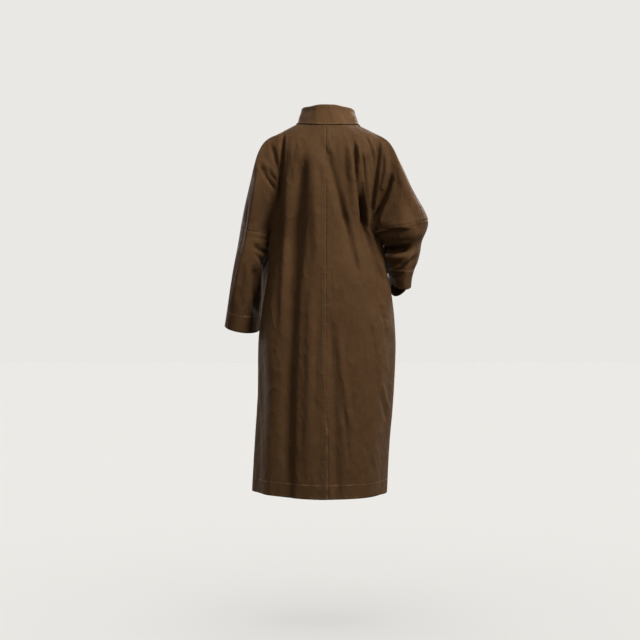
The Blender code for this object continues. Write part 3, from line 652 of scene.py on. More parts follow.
CREASES = {
    "back": (
        ((0.066, -0.077), (0.078, -0.283), (0.093, -0.514), 0.0160, 0.0110, 0.5),
        ((0.090, -0.424), (0.105, -0.792), (0.111, -1.211), 0.0140, 0.0130, 0.3),
        ((0.114, -0.130), (0.123, -0.358), (0.135, -0.657), 0.0110, -0.0070, 0),
        ((0.036, -0.059), (0.033, -0.253), (0.024, -0.454), 0.0150, -0.0045, 0),
        ((0.048, -0.490), (0.051, -0.732), (0.057, -1.047), 0.0120, -0.0044, 0),
        ((0.013, -0.526), (0.027, -0.687), (0.033, -0.891), 0.0070, 0.0022, 0.2),
        ((0.129, -0.029), (0.132, -0.127), (0.144, -0.274), 0.0052, 0.0150, 0.55),
        ((0.087, -0.050), (0.099, -0.112), (0.108, -0.208), 0.0070, 0.0018, 0),
        ((0.010, -0.053), (-0.026, -0.178), (-0.071, -0.358), 0.0100, 0.0070, 0.3),
        ((-0.050, -0.256), (-0.074, -0.358), (-0.098, -0.466), 0.0090, 0.0046, 0.3),
        ((-0.056, -0.071), (-0.056, -0.124), (-0.062, -0.190), 0.0080, 0.0026, 0),
        ((-0.077, -0.077), (-0.083, -0.223), (-0.104, -0.388), 0.0080, -0.0036, 0),
        ((-0.035, -0.214), (-0.050, -0.283), (-0.068, -0.358), 0.0040, 0.0014, 0.2),
        ((-0.083, -0.053), (-0.101, -0.166), (-0.119, -0.316), 0.0066, 0.0180, 0.45),
        ((-0.110, -0.214), (-0.131, -0.373), (-0.191, -0.496), 0.0080, 0.0140, 0.3),
        ((-0.131, -0.334), (-0.149, -0.403), (-0.179, -0.460), 0.0040, -0.0035, 0),
        ((-0.119, -0.038), (-0.140, -0.089), (-0.149, -0.166), 0.0046, 0.0055, 0.3),
        ((-0.164, -0.047), (-0.155, -0.154), (-0.134, -0.310), 0.0052, 0.0140, 0.4),
        ((-0.113, -0.071), (-0.125, -0.172), (-0.134, -0.280), 0.0060, -0.0040, 0),
        ((-0.179, -0.077), (-0.182, -0.154), (-0.167, -0.208), 0.0070, -0.0060, 0),
        ((-0.200, -0.154), (-0.176, -0.232), (-0.134, -0.334), 0.0080, 0.0200, 0.35),
        ((0.001, -0.112), (-0.011, -0.130), (-0.020, -0.157), 0.0040, 0.0018, 0),
        ((0.001, -0.151), (-0.014, -0.172), (-0.026, -0.202), 0.0040, 0.0018, 0.2),
        ((0.013, -0.071), (-0.002, -0.086), (-0.014, -0.109), 0.0040, 0.0014, 0),
        ((-0.008, -0.574), (-0.023, -0.837), (-0.029, -1.196), 0.0130, 0.0075, -0.1),
        ((-0.035, -0.627), (-0.056, -0.792), (-0.083, -0.957), 0.0090, -0.0036, 0),
        ((-0.050, -0.843), (-0.062, -0.945), (-0.071, -1.035), 0.0050, 0.0026, 0.3),
        ((-0.113, -0.975), (-0.131, -1.011), (-0.143, -1.059), 0.0070, 0.0018, 0.2),
        ((-0.125, -0.592), (-0.146, -0.693), (-0.152, -0.837), 0.0090, 0.0042, 0.2),
        ((-0.158, -0.538), (-0.176, -0.603), (-0.182, -0.672), 0.0060, 0.0020, 0.3),
        ((-0.152, -0.556), (-0.170, -0.550), (-0.191, -0.565), 0.0040, -0.0020, 0),
        ((-0.158, -0.583), (-0.176, -0.589), (-0.194, -0.598), 0.0040, 0.0018, 0.3),
        ((-0.170, -0.786), (-0.179, -0.825), (-0.194, -0.879), 0.0045, -0.0030, 0),
        ((-0.164, -0.813), (-0.173, -0.855), (-0.188, -0.909), 0.0045, 0.0026, 0.2),
        ((0.204, -0.771), (0.192, -0.927), (0.192, -1.071), 0.0050, -0.0016, 0),
    ),
    "left sleeve back": (
        ((0.201, -0.118), (0.180, -0.160), (0.147, -0.208), 0.0050, 0.0085, 0.4),
        ((0.174, -0.136), (0.162, -0.157), (0.144, -0.181), 0.0042, 0.0055, 0.3),
        ((0.192, -0.121), (0.171, -0.139), (0.150, -0.169), 0.0050, -0.0036, 0),
        ((0.168, -0.062), (0.153, -0.109), (0.138, -0.166), 0.0065, 0.0070, 0.2),
        ((0.192, -0.208), (0.201, -0.262), (0.210, -0.316), 0.0080, 0.0024, 0.2),
        ((0.225, -0.322), (0.195, -0.328), (0.165, -0.340), 0.0050, 0.0030, 0),
        ((0.165, -0.307), (0.186, -0.331), (0.204, -0.346), 0.0060, -0.0042, 0),
        ((0.222, -0.367), (0.201, -0.385), (0.180, -0.382), 0.0060, 0.0100, 0.3),
        ((0.219, -0.391), (0.201, -0.412), (0.186, -0.436), 0.0050, 0.0080, 0.3),
        ((0.228, -0.352), (0.198, -0.358), (0.168, -0.349), 0.0050, -0.0038, 0),
        ((0.222, -0.430), (0.213, -0.502), (0.219, -0.586), 0.0090, 0.0110, 0.3),
        ((0.237, -0.424), (0.243, -0.496), (0.249, -0.556), 0.0080, -0.0028, 0),
        ((0.186, -0.388), (0.183, -0.493), (0.189, -0.603), 0.0120, 0.0130, 0.2),
        ((0.249, -0.424), (0.258, -0.484), (0.270, -0.544), 0.0080, 0.0026, -0.2),
        ((0.198, -0.106), (0.219, -0.229), (0.255, -0.412), 0.0060, -0.0035, 0),
        ((0.219, -0.136), (0.237, -0.247), (0.273, -0.430), 0.0080, 0.0050, 0.2),
        ((0.255, -0.406), (0.273, -0.484), (0.291, -0.550), 0.0060, -0.0022, 0),
    ),
    "right sleeve back": (
        ((-0.209, -0.118), (-0.224, -0.196), (-0.248, -0.280), 0.0130, 0.0026, 0.2),
        ((-0.170, -0.277), (-0.194, -0.292), (-0.218, -0.277), 0.0060, -0.0026, 0),
        ((-0.194, -0.304), (-0.212, -0.322), (-0.236, -0.316), 0.0060, 0.0022, 0.2),
        ((-0.128, -0.352), (-0.185, -0.379), (-0.269, -0.376), 0.0100, 0.0280, 0.5),
        ((-0.143, -0.304), (-0.203, -0.319), (-0.275, -0.304), 0.0500, -0.0340, -0.85),
        ((-0.176, -0.424), (-0.206, -0.436), (-0.239, -0.418), 0.0060, 0.0060, -0.3),
        ((-0.203, -0.439), (-0.236, -0.424), (-0.272, -0.385), 0.0060, -0.0080, 0),
        ((-0.182, -0.451), (-0.209, -0.466), (-0.242, -0.451), 0.0050, 0.0090, -0.3),
        ((-0.227, -0.451), (-0.251, -0.427), (-0.266, -0.397), 0.0055, 0.0040, 0.2),
    ),
    "front": (
        ((0.072, -0.160), (0.078, -0.420), (0.085, -0.800), 0.0140, 0.0080, 0.4),
        ((0.085, -0.740), (0.094, -0.980), (0.100, -1.220), 0.0150, 0.0080, 0.2),
        ((0.115, -0.240), (0.125, -0.500), (0.135, -0.860), 0.0130, -0.0050, 0),
        ((0.150, -0.460), (0.162, -0.760), (0.168, -1.200), 0.0140, 0.0070, -0.3),
        ((0.120, -0.055), (0.136, -0.140), (0.150, -0.270), 0.0060, 0.0110, 0.4),
        ((0.095, -0.050), (0.104, -0.110), (0.110, -0.190), 0.0070, 0.0035, 0),
        ((0.165, -0.060), (0.158, -0.130), (0.150, -0.220), 0.0060, 0.0070, -0.3),
        ((0.020, -0.200), (0.045, -0.270), (0.060, -0.360), 0.0080, 0.0030, 0.2),
        ((-0.060, -0.170), (-0.070, -0.400), (-0.064, -0.720), 0.0130, 0.0070, -0.3),
        ((-0.064, -0.660), (-0.058, -0.940), (-0.066, -1.220), 0.0150, 0.0080, -0.4),
        ((-0.110, -0.260), (-0.118, -0.520), (-0.112, -0.900), 0.0130, -0.0050, 0),
        ((-0.140, -0.500), (-0.150, -0.800), (-0.145, -1.200), 0.0140, 0.0065, 0.3),
        ((-0.115, -0.060), (-0.133, -0.150), (-0.150, -0.270), 0.0060, 0.0110, -0.4),
        ((-0.160, -0.055), (-0.152, -0.120), (-0.146, -0.210), 0.0060, 0.0070, 0.3),
        ((-0.090, -0.045), (-0.097, -0.100), (-0.100, -0.170), 0.0070, 0.0035, 0),
        ((-0.006, -0.235), (-0.028, -0.262), (-0.050, -0.315), 0.0050, 0.0020, 0.2),
        ((0.004, -0.430), (0.022, -0.447), (0.044, -0.478), 0.0050, 0.0020, 0.2),
        ((-0.004, -0.630), (-0.024, -0.652), (-0.046, -0.700), 0.0050, 0.0020, -0.2),
        ((0.130, -0.300), (0.155, -0.360), (0.172, -0.440), 0.0070, 0.0040, 0.2),
        ((-0.135, -0.300), (-0.158, -0.360), (-0.176, -0.440), 0.0070, 0.0040, -0.2),
    ),
    "left sleeve front": (
        ((0.172, -0.300), (0.205, -0.335), (0.245, -0.335), 0.0080, 0.0100, 0.3),
        ((0.176, -0.360), (0.205, -0.375), (0.240, -0.365), 0.0070, 0.0070, 0.3),
        ((0.180, -0.275), (0.210, -0.300), (0.240, -0.300), 0.0070, -0.0040, 0),
        ((0.165, -0.150), (0.190, -0.200), (0.215, -0.270), 0.0090, 0.0060, 0.2),
        ((0.200, -0.120), (0.215, -0.180), (0.235, -0.250), 0.0090, -0.0030, 0),
        ((0.205, -0.410), (0.225, -0.490), (0.240, -0.570), 0.0090, 0.0060, 0.3),
        ((0.240, -0.400), (0.258, -0.470), (0.270, -0.540), 0.0090, -0.0026, 0),
    ),
    "right sleeve front": (
        ((-0.175, -0.295), (-0.215, -0.325), (-0.265, -0.315), 0.0080, 0.0100, 0.3),
        ((-0.180, -0.355), (-0.220, -0.375), (-0.270, -0.362), 0.0080, 0.0090, 0.3),
        ((-0.185, -0.405), (-0.220, -0.420), (-0.262, -0.405), 0.0070, 0.0070, 0.3),
        ((-0.190, -0.450), (-0.220, -0.462), (-0.255, -0.452), 0.0060, 0.0050, 0.2),
        ((-0.178, -0.325), (-0.218, -0.350), (-0.268, -0.338), 0.0070, -0.0040, 0),
        ((-0.160, -0.130), (-0.185, -0.190), (-0.215, -0.260), 0.0090, 0.0060, 0.2),
        ((-0.200, -0.110), (-0.225, -0.170), (-0.255, -0.240), 0.0090, -0.0030, 0),
    ),
    "collar": (
        ((0.080, 0.036), (0.078, 0.015), (0.082, -0.003), 0.0050, -0.0014, 0.2),
        ((-0.088, 0.034), (-0.090, 0.015), (-0.093, -0.004), 0.0050, -0.0014, -0.2),
        ((0.062, 0.050), (0.050, 0.030), (0.046, 0.006), 0.0090, 0.0010, 0),
        ((-0.040, 0.052), (-0.052, 0.030), (-0.060, 0.004), 0.0100, 0.0012, 0),
    ),
    "collar front": (
        ((0.050, 0.000), (0.042, -0.020), (0.040, -0.045), 0.0070, 0.0014, 0.2),
        ((-0.058, 0.002), (-0.046, -0.016), (-0.041, -0.044), 0.0070, 0.0016, -0.2),
    ),
}
CREASE_SHOULDER = 0.14  # a crease pushes up a low ridge on both sides, this share of its depth
CREASE_FADE = 0.22  # the share of its length over which each end of a crease fades


class Cut(NamedTuple):
    """The flat cut of a piece before it was sewn: its width, its length and its area."""

    width: float
    length: float
    area: float


def mesh_of(name, points, faces):
    mesh = bpy.data.meshes.new(name)
    mesh.from_pydata(points, [], faces)
    return mesh


def placed(name, data):
    """A new object, in the scene."""
    obj = bpy.data.objects.new(name, data)
    bpy.context.scene.collection.objects.link(obj)
    return obj


def fetched(items, key, width, kind):
    """One property of many items, as an array."""
    values = np.empty(len(items) * width, kind)
    items.foreach_get(key, values)
    return values


def subdivided(points, cells, coordinates):
    """A smooth finer mesh of a mesh of four-cornered cells: its points, its quads, the cell that
    each quad lies in, and for each quad the coordinates of its corners."""
    mesh = mesh_of("coarse", [tuple(p) for p in points], [tuple(c) for c in cells])
    mesh.attributes.new("cell", "INT", "FACE").data.foreach_set("value", range(len(cells)))
    for name, values in coordinates.items():
        layer = mesh.uv_layers.new(name=name)
        layer.uv.foreach_set("vector", np.asarray(values, np.float32).ravel())
    obj = placed("coarse", mesh)
    finer = obj.modifiers.new("finer", "SUBSURF")
    finer.levels = finer.render_levels = LEVELS
    finer.uv_smooth = "NONE"
    made = obj.evaluated_get(bpy.context.evaluated_depsgraph_get()).to_mesh()
    fine = fetched(made.vertices, "co", 3, float).reshape(-1, 3)
    quads = fetched(made.loops, "vertex_index", 1, int).reshape(-1, 4)
    owner = fetched(made.attributes["cell"].data, "value", 1, int)
    found = {}
    for name in coordinates:
        values = fetched(made.uv_layers[name].uv, "vector", 2, np.float32)
        found[name] = values.reshape(-1, 4, 2).astype(float)
    bpy.data.objects.remove(obj)
    bpy.data.meshes.remove(mesh)
    return fine, quads, owner, found


def vertex_normals(points, quads):
    first, second = points[quads[:, 2]] - points[quads[:, 0]], points[quads[:, 3]] - points[quads[:, 1]]
    facing = np.cross(first, second)
    total = np.zeros_like(points)
    for k in range(4):
        np.add.at(total, quads[:, k], facing)
    return units(total)


def facing_back(normals):
    """1 where the cloth faces backwards and 0 where it faces forwards, with a soft change."""
    return smooth_step((normals[:, 1] + 0.10) / 0.35)


def uneven(points, terms):
    """Soft noise at points, the sum of terms that each have a share and a scale."""
    return np.array(
        [sum(share * noise.noise(Vector(p) * scale) for share, scale in terms) for p in points]
    )


def creased(points, where, weight):
    """How far in the creases of one part of the coat move each of its points."""
    moved = np.zeros(len(points))
    flat = points[:, [0, 2]]
    for crease in map(Crease._make, CREASES[where]):
        start, middle, end = (np.array(p) for p in (crease.start, crease.middle, crease.end))
        t = np.linspace(0, 1, 33)[:, None]
        line = start * (1 - t) * (1 - 2 * t) + middle * 4 * t * (1 - t) + end * t * (2 * t - 1)
        reach = 4 * crease.width
        near = np.flatnonzero(
            (weight > 0.01)
            & np.all(flat > line.min(0) - reach, axis=1)
            & np.all(flat < line.max(0) + reach, axis=1)
        )
        if not len(near):
            continue
        off = flat[near][:, None, :] - line[None, :, :]
        closest = np.linalg.norm(off, axis=2).argmin(1)
        along = np.gradient(line, axis=0)[closest]
        step = np.linalg.norm(along, axis=1)
        away = off[np.arange(len(near)), closest]
        across = (along[:, 0] * away[:, 1] - along[:, 1] * away[:, 0]) / step
        ahead = np.sum(along * away, axis=1) / step**2
        place = np.clip((closest + np.clip(ahead, -0.5, 0.5)) / (len(line) - 1), 0, 1)
        past = np.maximum(np.abs(ahead) - 0.5, 0) * step
        x = np.hypot(across, past) / (crease.width * (1 + 0.5 * crease.lean * np.sign(across)))
        profile = np.exp(-x * x) - CREASE_SHOULDER * np.exp(-((x - 2.0) ** 2) / 0.8)
        ends = np.minimum(place, 1 - place)
        fading = smooth_step(0.15 + 0.85 * ends / CREASE_FADE)
        moved[near] += crease.depth * profile * fading * weight[near]
    return moved


class Cloth(NamedTuple):
    """The finished outer face of the whole coat: its points and normals, its quads with their
    corners' loft places and cloth coordinates, the name of the loft cell under each quad, and
    for each point its side, its column and its station, whether it is on a lower sleeve, and how
    near it is to a seam."""

    points: np.ndarray
    normals: np.ndarray
    quads: np.ndarray
    places: np.ndarray
    weave: np.ndarray
    cells: list
    side: np.ndarray
    column: np.ndarray
    station: np.ndarray
    arm: np.ndarray
    seam: np.ndarray


def hem_start():
    """The station where the hem is turned up."""
    return trunk_places()[-3]


def cuff_start(side):
    return sleeve_places(side)[-3]


@functools.cache
def coarse_surface():
    """The loft with its folds, and its normals."""
    surface = fold(loft())
    surface.relax()
    return surface, surface.normals()


@functools.cache
def rows_of(region, side):
    """The stations of the rows of one part of the loft."""
    if region == "upper":
        return np.linspace(0, UNDERARM, UPPER_ROWS + 1)
    return np.array(trunk_places() if region == "trunk" else sleeve_places(side))


def panel_of(cell):
    """The cut panel that a cell of the loft belongs to."""
    region, side, face, _, j = cell
    if region == "sleeve":
        behind_seam = face == BACK and j < SEAM_COLUMN
        return f"sleeve_{SIDE_NAMES[side]}_{'back' if behind_seam else 'front'}"
    over_arm = region == "upper" and j >= OVERARM and face == BACK
    behind = face == BACK and not over_arm
    return f"{'back' if behind else 'front'}_{SIDE_NAMES[side]}"


def cloth_coordinates(surface, keys):
    """Where each corner of each cell lies on the flat cloth, in metres across and along."""
    lengths = {}
    for region in ("upper", "trunk", "sleeve"):
        first = TRUNK_COLUMNS if region == "sleeve" else 0
        last = TRUNK_COLUMNS if region == "trunk" else ALL_COLUMNS
        for side in (LEFT, RIGHT):
            for face in (FRONT, BACK):
                for i in range(len(rows_of(region, side))):
                    at = ("upper", UPPER_ROWS) if i == 0 and region != "upper" else (region, i)
                    names = [ring_name(at, side, face, c) for c in range(first, last + 1)]
                    ring = surface.points[[surface.names[name] for name in names]]
                    lengths[region, side, face, i] = lengths_to(ring)
    drop = through([[c.back_height] for c in CENTRE_LINES])
    corners = []
    for key in keys:
        region, side, face, _, j = key
        cell = []
        for row, column in corners_of(key):
            ring = lengths[region, side, face, row]
            across = face * ring[column]
            if region == "upper" and face == BACK and j >= OVERARM:
                across = FRONT * (lengths[region, side, FRONT, row][-1] + ring[-1] - ring[column])
            station = rows_of(region, side)[row]
            height = drop(UNDERARM if region == "sleeve" else station)[0]
            if region == "sleeve":
                height -= SLEEVE_STEP * (station - UNDERARM)
            cell.append((side * across, height))
        corners.append(cell)
    return np.array(corners)


def loft_places(keys):
    """The column and the station of each corner of each cell."""
    corners = []
    for key in keys:
        rows = rows_of(*key[:2])
        first = TRUNK_COLUMNS if key[0] == "sleeve" else 0
        corners.append([(first + column, rows[row]) for row, column in corners_of(key)])
    return np.array(corners)


def near_seams(on_seam, quads):
    """How near points are to a seam: 1 on it, then a half and a quarter for the next points."""
    seam = on_seam.astype(float)
    for _ in range(2):
        spread = np.zeros(len(seam))
        for k in range(4):
            np.maximum.at(spread, quads[:, k], seam[quads[:, k - 1]] * 0.5)
            np.maximum.at(spread, quads[:, k - 1], seam[quads[:, k]] * 0.5)
        seam = np.maximum(seam, spread)
    return seam


def bagging(heights, side, column, station, lower_sleeve):
    """How far outwards the cloth bags below the underarm. A sleeve's cloth moves inwards."""
    fullness = np.interp(heights, *zip(*UNDERARM_FULLNESS), left=0, right=0)
    to_sleeve = smooth_step((column - TRUNK_COLUMNS + 6) / 5)
    to_trunk = smooth_step((3.5 - column + TRUNK_COLUMNS) / 3)
    width = np.where(side == LEFT, FULLNESS_LEFT, FULLNESS_RIGHT) * fullness
    return side * width * np.where(lower_sleeve, -to_trunk, to_sleeve * (station >= UNDERARM))


@functools.cache
def cloth():
    """The whole outer face: the loft with its folds, made finer, then creased."""
    surface, _ = coarse_surface()
    keys = list(surface.cells)
    coordinates = {"places": loft_places(keys), "weave": cloth_coordinates(surface, keys)}
    points, quads, owner, found = subdivided(surface.points, surface.cells.values(), coordinates)
    normals = vertex_normals(points, quads)
    places = found["places"]
    cells = [keys[i] for i in owner]

    side, column, station = np.zeros((3, len(points)))
    lower_sleeve, panels = np.zeros(len(points), bool), [set() for _ in points]
    for k in range(4):
        column[quads[:, k]] = places[:, k, 0]
        station[quads[:, k]] = places[:, k, 1]
        side[quads[:, k]] = [cell[1] for cell in cells]
        lower_sleeve[quads[:, k]] |= [cell[0] == "sleeve" for cell in cells]
        for point, cell in zip(quads[:, k], cells):
            panels[point].add(panel_of(cell))
    on_seam = np.array([len(names) > 1 for names in panels])

    behind = facing_back(normals)
    above_underarm = smooth_step((UNDERARM - station) / 0.5)
    arm = np.where(lower_sleeve | (column > TRUNK_COLUMNS), 1.0, above_underarm)
    trunk = np.where(lower_sleeve, 0.0, np.where(column > TRUNK_COLUMNS, above_underarm, 1.0))
    moved = np.zeros(len(points))
    for name, share in (("back", behind), ("front", 1 - behind)):
        moved += creased(points, name, share * trunk)
        for each in (LEFT, RIGHT):
            weight = share * arm * (side == each)
            moved += creased(points, f"{SIDE_NAMES[each]} sleeve {name}", weight)
    roughened = UNEVEN * uneven(points, CLOTH_NOISE) * smooth_step(station / 0.6)
    points = points - normals * (moved + roughened)[:, None]
    points[:, 0] += bagging(points[:, 2], side, column, station, lower_sleeve)
    normals = vertex_normals(points, quads)

    seam = near_seams(on_seam, quads)
    sunk = SEAM_SINK * on_seam - SEAM_RIDGE * ((seam > 0.4) & (seam < 0.6))
    sunk *= np.where((column < 1) | (np.abs(station - UNDERARM) < 0.3), FLATTER_SEAM, 1.0)
    points = points - normals * sunk[:, None]
    return Cloth(
        points, normals, quads, places, found["weave"], cells, side, column, station, lower_sleeve, seam
    )


def border_edges(quads, count):
    """The directed border edges of a mesh of quads."""
    a = quads.ravel()
    b = np.roll(quads, -1, axis=1).ravel()
    return np.stack([a, b], 1)[~np.isin(a * count + b, b * count + a)]


def shell(name, points, normals, quads, weave, thickness, marks, material):
    """A closed piece of cloth with a rounded edge: an outer face, an inner face and a rim. Marks are
    values kept for each point, for the material."""
    used, quads = np.unique(quads, return_inverse=True)
    quads = quads.reshape(-1, 4)
    outer, normal, thick = points[used], normals[used], np.broadcast_to(thickness, len(points))[used]
    count = len(used)
    inner = outer - normal * thick[:, None]
    edges = border_edges(quads, count)
    outwards = np.zeros_like(outer)
    run = outer[edges[:, 1]] - outer[edges[:, 0]]
    for k in (0, 1):
        np.add.at(outwards, edges[:, k], np.cross(run, normal[edges[:, k]]))
    outwards = units(outwards)
    rim = np.unique(edges)
    middle = outer[rim] - normal[rim] * thick[rim, None] * 0.5 + outwards[rim] * thick[rim, None] * 0.45
    at_rim = np.zeros(count, int)
    at_rim[rim] = 2 * count + np.arange(len(rim))
    a, b = edges[:, 0], edges[:, 1]
    upper = np.stack([b, a, at_rim[a], at_rim[b]], 1)
    lower = np.stack([at_rim[b], at_rim[a], a + count, b + count], 1)
    faces = np.concatenate([quads, quads[:, ::-1] + count, upper, lower])
    everything = np.concatenate([outer, inner, middle])

    flat = np.zeros((count, 2))
    flat[quads.ravel()] = weave.reshape(-1, 2)
    at_border = np.concatenate([flat, flat, flat[rim]])
    corner_weave = np.concatenate([weave, weave[:, ::-1], at_border[upper], at_border[lower]])

    mesh = mesh_of(name, everything.tolist(), faces.tolist())
    layer = mesh.uv_layers.new(name="weave")
    layer.uv.foreach_set("vector", corner_weave.astype(np.float32).ravel())
    for mark, values in marks.items():
        kept = np.concatenate([values[used], values[used], values[used][rim]])
        mesh.attributes.new(mark, "FLOAT", "POINT").data.foreach_set("value", kept)
    mesh.shade_smooth()
    mesh.materials.append(material)
    return placed(name, mesh)


def finish_piece(obj, node):
    """What every piece needs: it rides on the coat and stands for its solid, which is hidden."""
    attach(obj, "root")
    if node:
        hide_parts(node)
    return obj


def smooth_near(values, inner, outer):
    """1 up to the inner distance, fading to 0 at the outer one."""
    return smooth_step((outer - values) / (outer - inner))


def panel_marks():
    """The values for the material: wear near seams and edges, and pucker along them."""
    whole = cloth()
    rubbed = np.where(whole.column > TRUNK_COLUMNS - 1, ARM_SEAM_WEAR, SEAM_WEAR)
    rubbed = np.where(whole.column < 1, 0.0, rubbed)
    rubbed = np.where(np.abs(whole.station - UNDERARM) < 0.2, ELBOW_SEAM_WEAR, rubbed)
    wear = np.clip(whole.seam, 0, 1) ** 1.5 * rubbed
    stitched = np.where(whole.side == LEFT, cuff_start(LEFT), cuff_start(RIGHT))
    stitched = np.where(whole.arm, stitched, hem_start())
    folded = (whole.side == LEFT) * (whole.column < 0.1) * ~whole.arm
    for edge_wear in (
        HEM_WEAR * smooth_near(HEM - whole.station, 0.0, 0.06),
        HEM_WEAR * smooth_near(CUFF - whole.station, 0.0, 0.08) * whole.arm,
        VENT_WEAR * folded * smooth_step((VENT_TOP + 0.06 - whole.points[:, 2]) / 0.08),
        STITCHED_WEAR * (np.abs(whole.station - stitched) < 1e-3),
    ):
        wear = np.maximum(wear, edge_wear)
    return {"wear": wear, "pucker": np.clip(whole.seam * 1.6, 0, 1)}


def panel_points(name):
    """The outer face's points where one panel stands off or reaches past its neighbour."""
    whole = cloth()
    on_trunk = whole.column <= TRUNK_COLUMNS
    vent = smooth_step((VENT_TOP + 0.03 - whole.points[:, 2]) / 0.05) * on_trunk
    lift = np.zeros(len(whole.points))
    shift = np.zeros(len(whole.points))
    if name == "front_right":
        fading = smooth_step(1 - (whole.column - 1) / LAP_FADE)
        lift = LAP_LIFT * on_trunk * np.where(whole.side == LEFT, 1.0, fading)
    if name == "back_left":
        below_neck = smooth_step(whole.station - 0.5) * on_trunk
        lift = SEAM_LIFT * below_neck * smooth_step(1 - whole.column / 1.2)
        lift = lift + VENT_LIFT * vent * smooth_step(1 - whole.column / 0.9)
        shift = -VENT_LAP * vent * smooth_step(1 - whole.column / 0.8)
    if name == "back_right":
        lift = -VENT_SINK * vent * smooth_step(1 - whole.column / 0.7)
    points = whole.points + whole.normals * lift[:, None]
    points[:, 0] += shift
    return points


def make_panel(name, settings, material):
    """One body or sleeve panel, with a column more where it laps over or under its neighbour."""
    whole = cloth()
    side = LEFT if "left" in name else RIGHT

    def mine(cell):
        region, cell_side, face, i, j = cell
        if panel_of(cell) == name:
            return True
        past_centre = cell_side != side and face == FRONT and j == 0 and region != "sleeve"
        return past_centre and name.startswith("front") and (region, i) != ("upper", 0)

    chosen = np.array([mine(cell) for cell in whole.cells])
    turned = hem_start() if "sleeve" not in name else cuff_start(side)
    on_part = whole.arm if "sleeve" in name else ~whole.arm
    at_hem = on_part & (whole.station > turned - 1e-6)
    thick = np.where(at_hem, settings.hem_thickness, settings.thickness)
    points, quads = panel_points(name), whole.quads
    normals, weave = vertex_normals(points, quads), whole.weave[chosen]
    made = shell(
        f"{name}_cloth", points, normals, quads[chosen], weave, thick, panel_marks(), material
    )
    return finish_piece(made, name)


def make_underlap(settings, material):
    """The strip behind the back vent, sewn to the right back."""
    whole = cloth()
    rows = rows_of("trunk", LEFT)
    centre = through([[c.back_height] for c in CENTRE_LINES])
    first = next(i for i, place in enumerate(rows) if centre(place)[0] < UNDERLAP_START)

    def mine(cell):
        region, side, face, i, j = cell
        in_rows = region == "trunk" and face == BACK and first <= i < len(rows) - 2
        return in_rows and j < (2 if side == LEFT else 1)

    chosen = np.array([mine(cell) for cell in whole.cells])
    under = settings.hem_thickness + UNDERLAP_GAP + VENT_SINK * smooth_step(2.2 - whole.column)
    points = whole.points - whole.normals * under[:, None]
    quads, weave = whole.quads[chosen], whole.weave[chosen]
    marks = {name: values * 0 for name, values in panel_marks().items()}
    name, thick = "back_vent_underlap_cloth", settings.thickness
    made = shell(name, points, whole.normals, quads, weave, thick, marks, material)
    return finish_piece(made, "back_vent_underlap")


def collar_rings():
    """The rings of the collar's outer face, from its lower edge up to its top."""
    surface, normals = coarse_surface()
    edge, facing, down = neckline(surface, normals)
    edge, facing, down = edge[1:-1:2], facing[1:-1:2], down[1:-1:2]
    ends = np.array([[COLLAR_END, 0.0, 0.0], [-COLLAR_END, 0.0, 0.0]]) - edge[[0, -1]] * [1, 0, 0]
    edge = np.concatenate([edge[:1] + ends[:1], edge, edge[-1:] + ends[1:]])
    facing = np.concatenate([facing[:1], facing, facing[-1:]])
    down = np.concatenate([down[:1], down, down[-1:]])
    behind = np.clip(facing[:, 1], 0, 1) ** 2
    before = np.clip(-facing[:, 1], 0, 1) ** 2
    height = COLLAR_SIDE + (COLLAR_BACK - COLLAR_SIDE) * behind + (COLLAR_FRONT - COLLAR_SIDE) * before
    past_lap = (np.abs(edge[:, 0]) - LAP) / COLLAR_LAP_FADE
    in_front = smooth_step(1 - past_lap) * (edge[:, 1] < 0)
    stand = COLLAR_OFF + bpy.context.scene.duster_collar.thickness + LAP_LIFT * in_front
    middle = (edge.min(0) + edge.max(0)) / 2
    inwards = units((middle - edge) * [1, 1, 0])
    rings = [edge + down * COLLAR_LAP + facing * stand[:, None], edge + facing * stand[:, None]]
    for i in range(1, COLLAR_ROWS):
        up = i / (COLLAR_ROWS - 1)
        ring = rings[1] + inwards * COLLAR_LEAN * smooth_step(up)
        ring[:, 2] += up * height
        rings.append(ring)
    return np.array(rings)


def make_collar(settings, material):
    """The tall stand collar, with its kinks where it turns round the neck."""
    outer = collar_rings()
    rows, columns = outer.shape[:2]
    across, up = lengths_to(outer[2]), lengths_to(outer[:, columns // 2])
    cells, weave = [], []
    for i in range(rows - 1):
        for j in range(columns - 1):
            corners = ((i, j), (i, j + 1), (i + 1, j + 1), (i + 1, j))
            cells.append([r * columns + c for r, c in corners])
            weave.append([(across[c], up[r]) for r, c in corners])
    points, quads, _, found = subdivided(outer.reshape(-1, 3), cells, {"weave": weave})
    normals = vertex_normals(points, quads)
    weave = found["weave"]
    height = np.zeros(len(points))
    height[quads.ravel()] = weave.reshape(-1, 2)[:, 1]
    behind = facing_back(normals)
    moved = creased(points, "collar", behind) + creased(points, "collar front", 1 - behind)
    moved = moved + COLLAR_UNEVEN * uneven(points, COLLAR_NOISE)
    for row, depth in ((settings.stitch_inset, 0.0010), (up[-1] - settings.stitch_inset, 0.0008)):
        moved = moved + depth * smooth_near(np.abs(height - row), 0.0, COLLAR_ROLL)
    points = points - normals * moved[:, None]
    normals = vertex_normals(points, quads)
    edge = np.minimum(height, up[-1] - height)
    wear = COLLAR_WEAR * smooth_near(up[-1] - height, 0.0, 0.004)
    marks = {"wear": wear, "pucker": smooth_near(edge, 0.002, 0.014)}
    made = shell("collar_cloth", points, normals, quads, weave, settings.thickness, marks, material)
    return finish_piece(made, "collar")


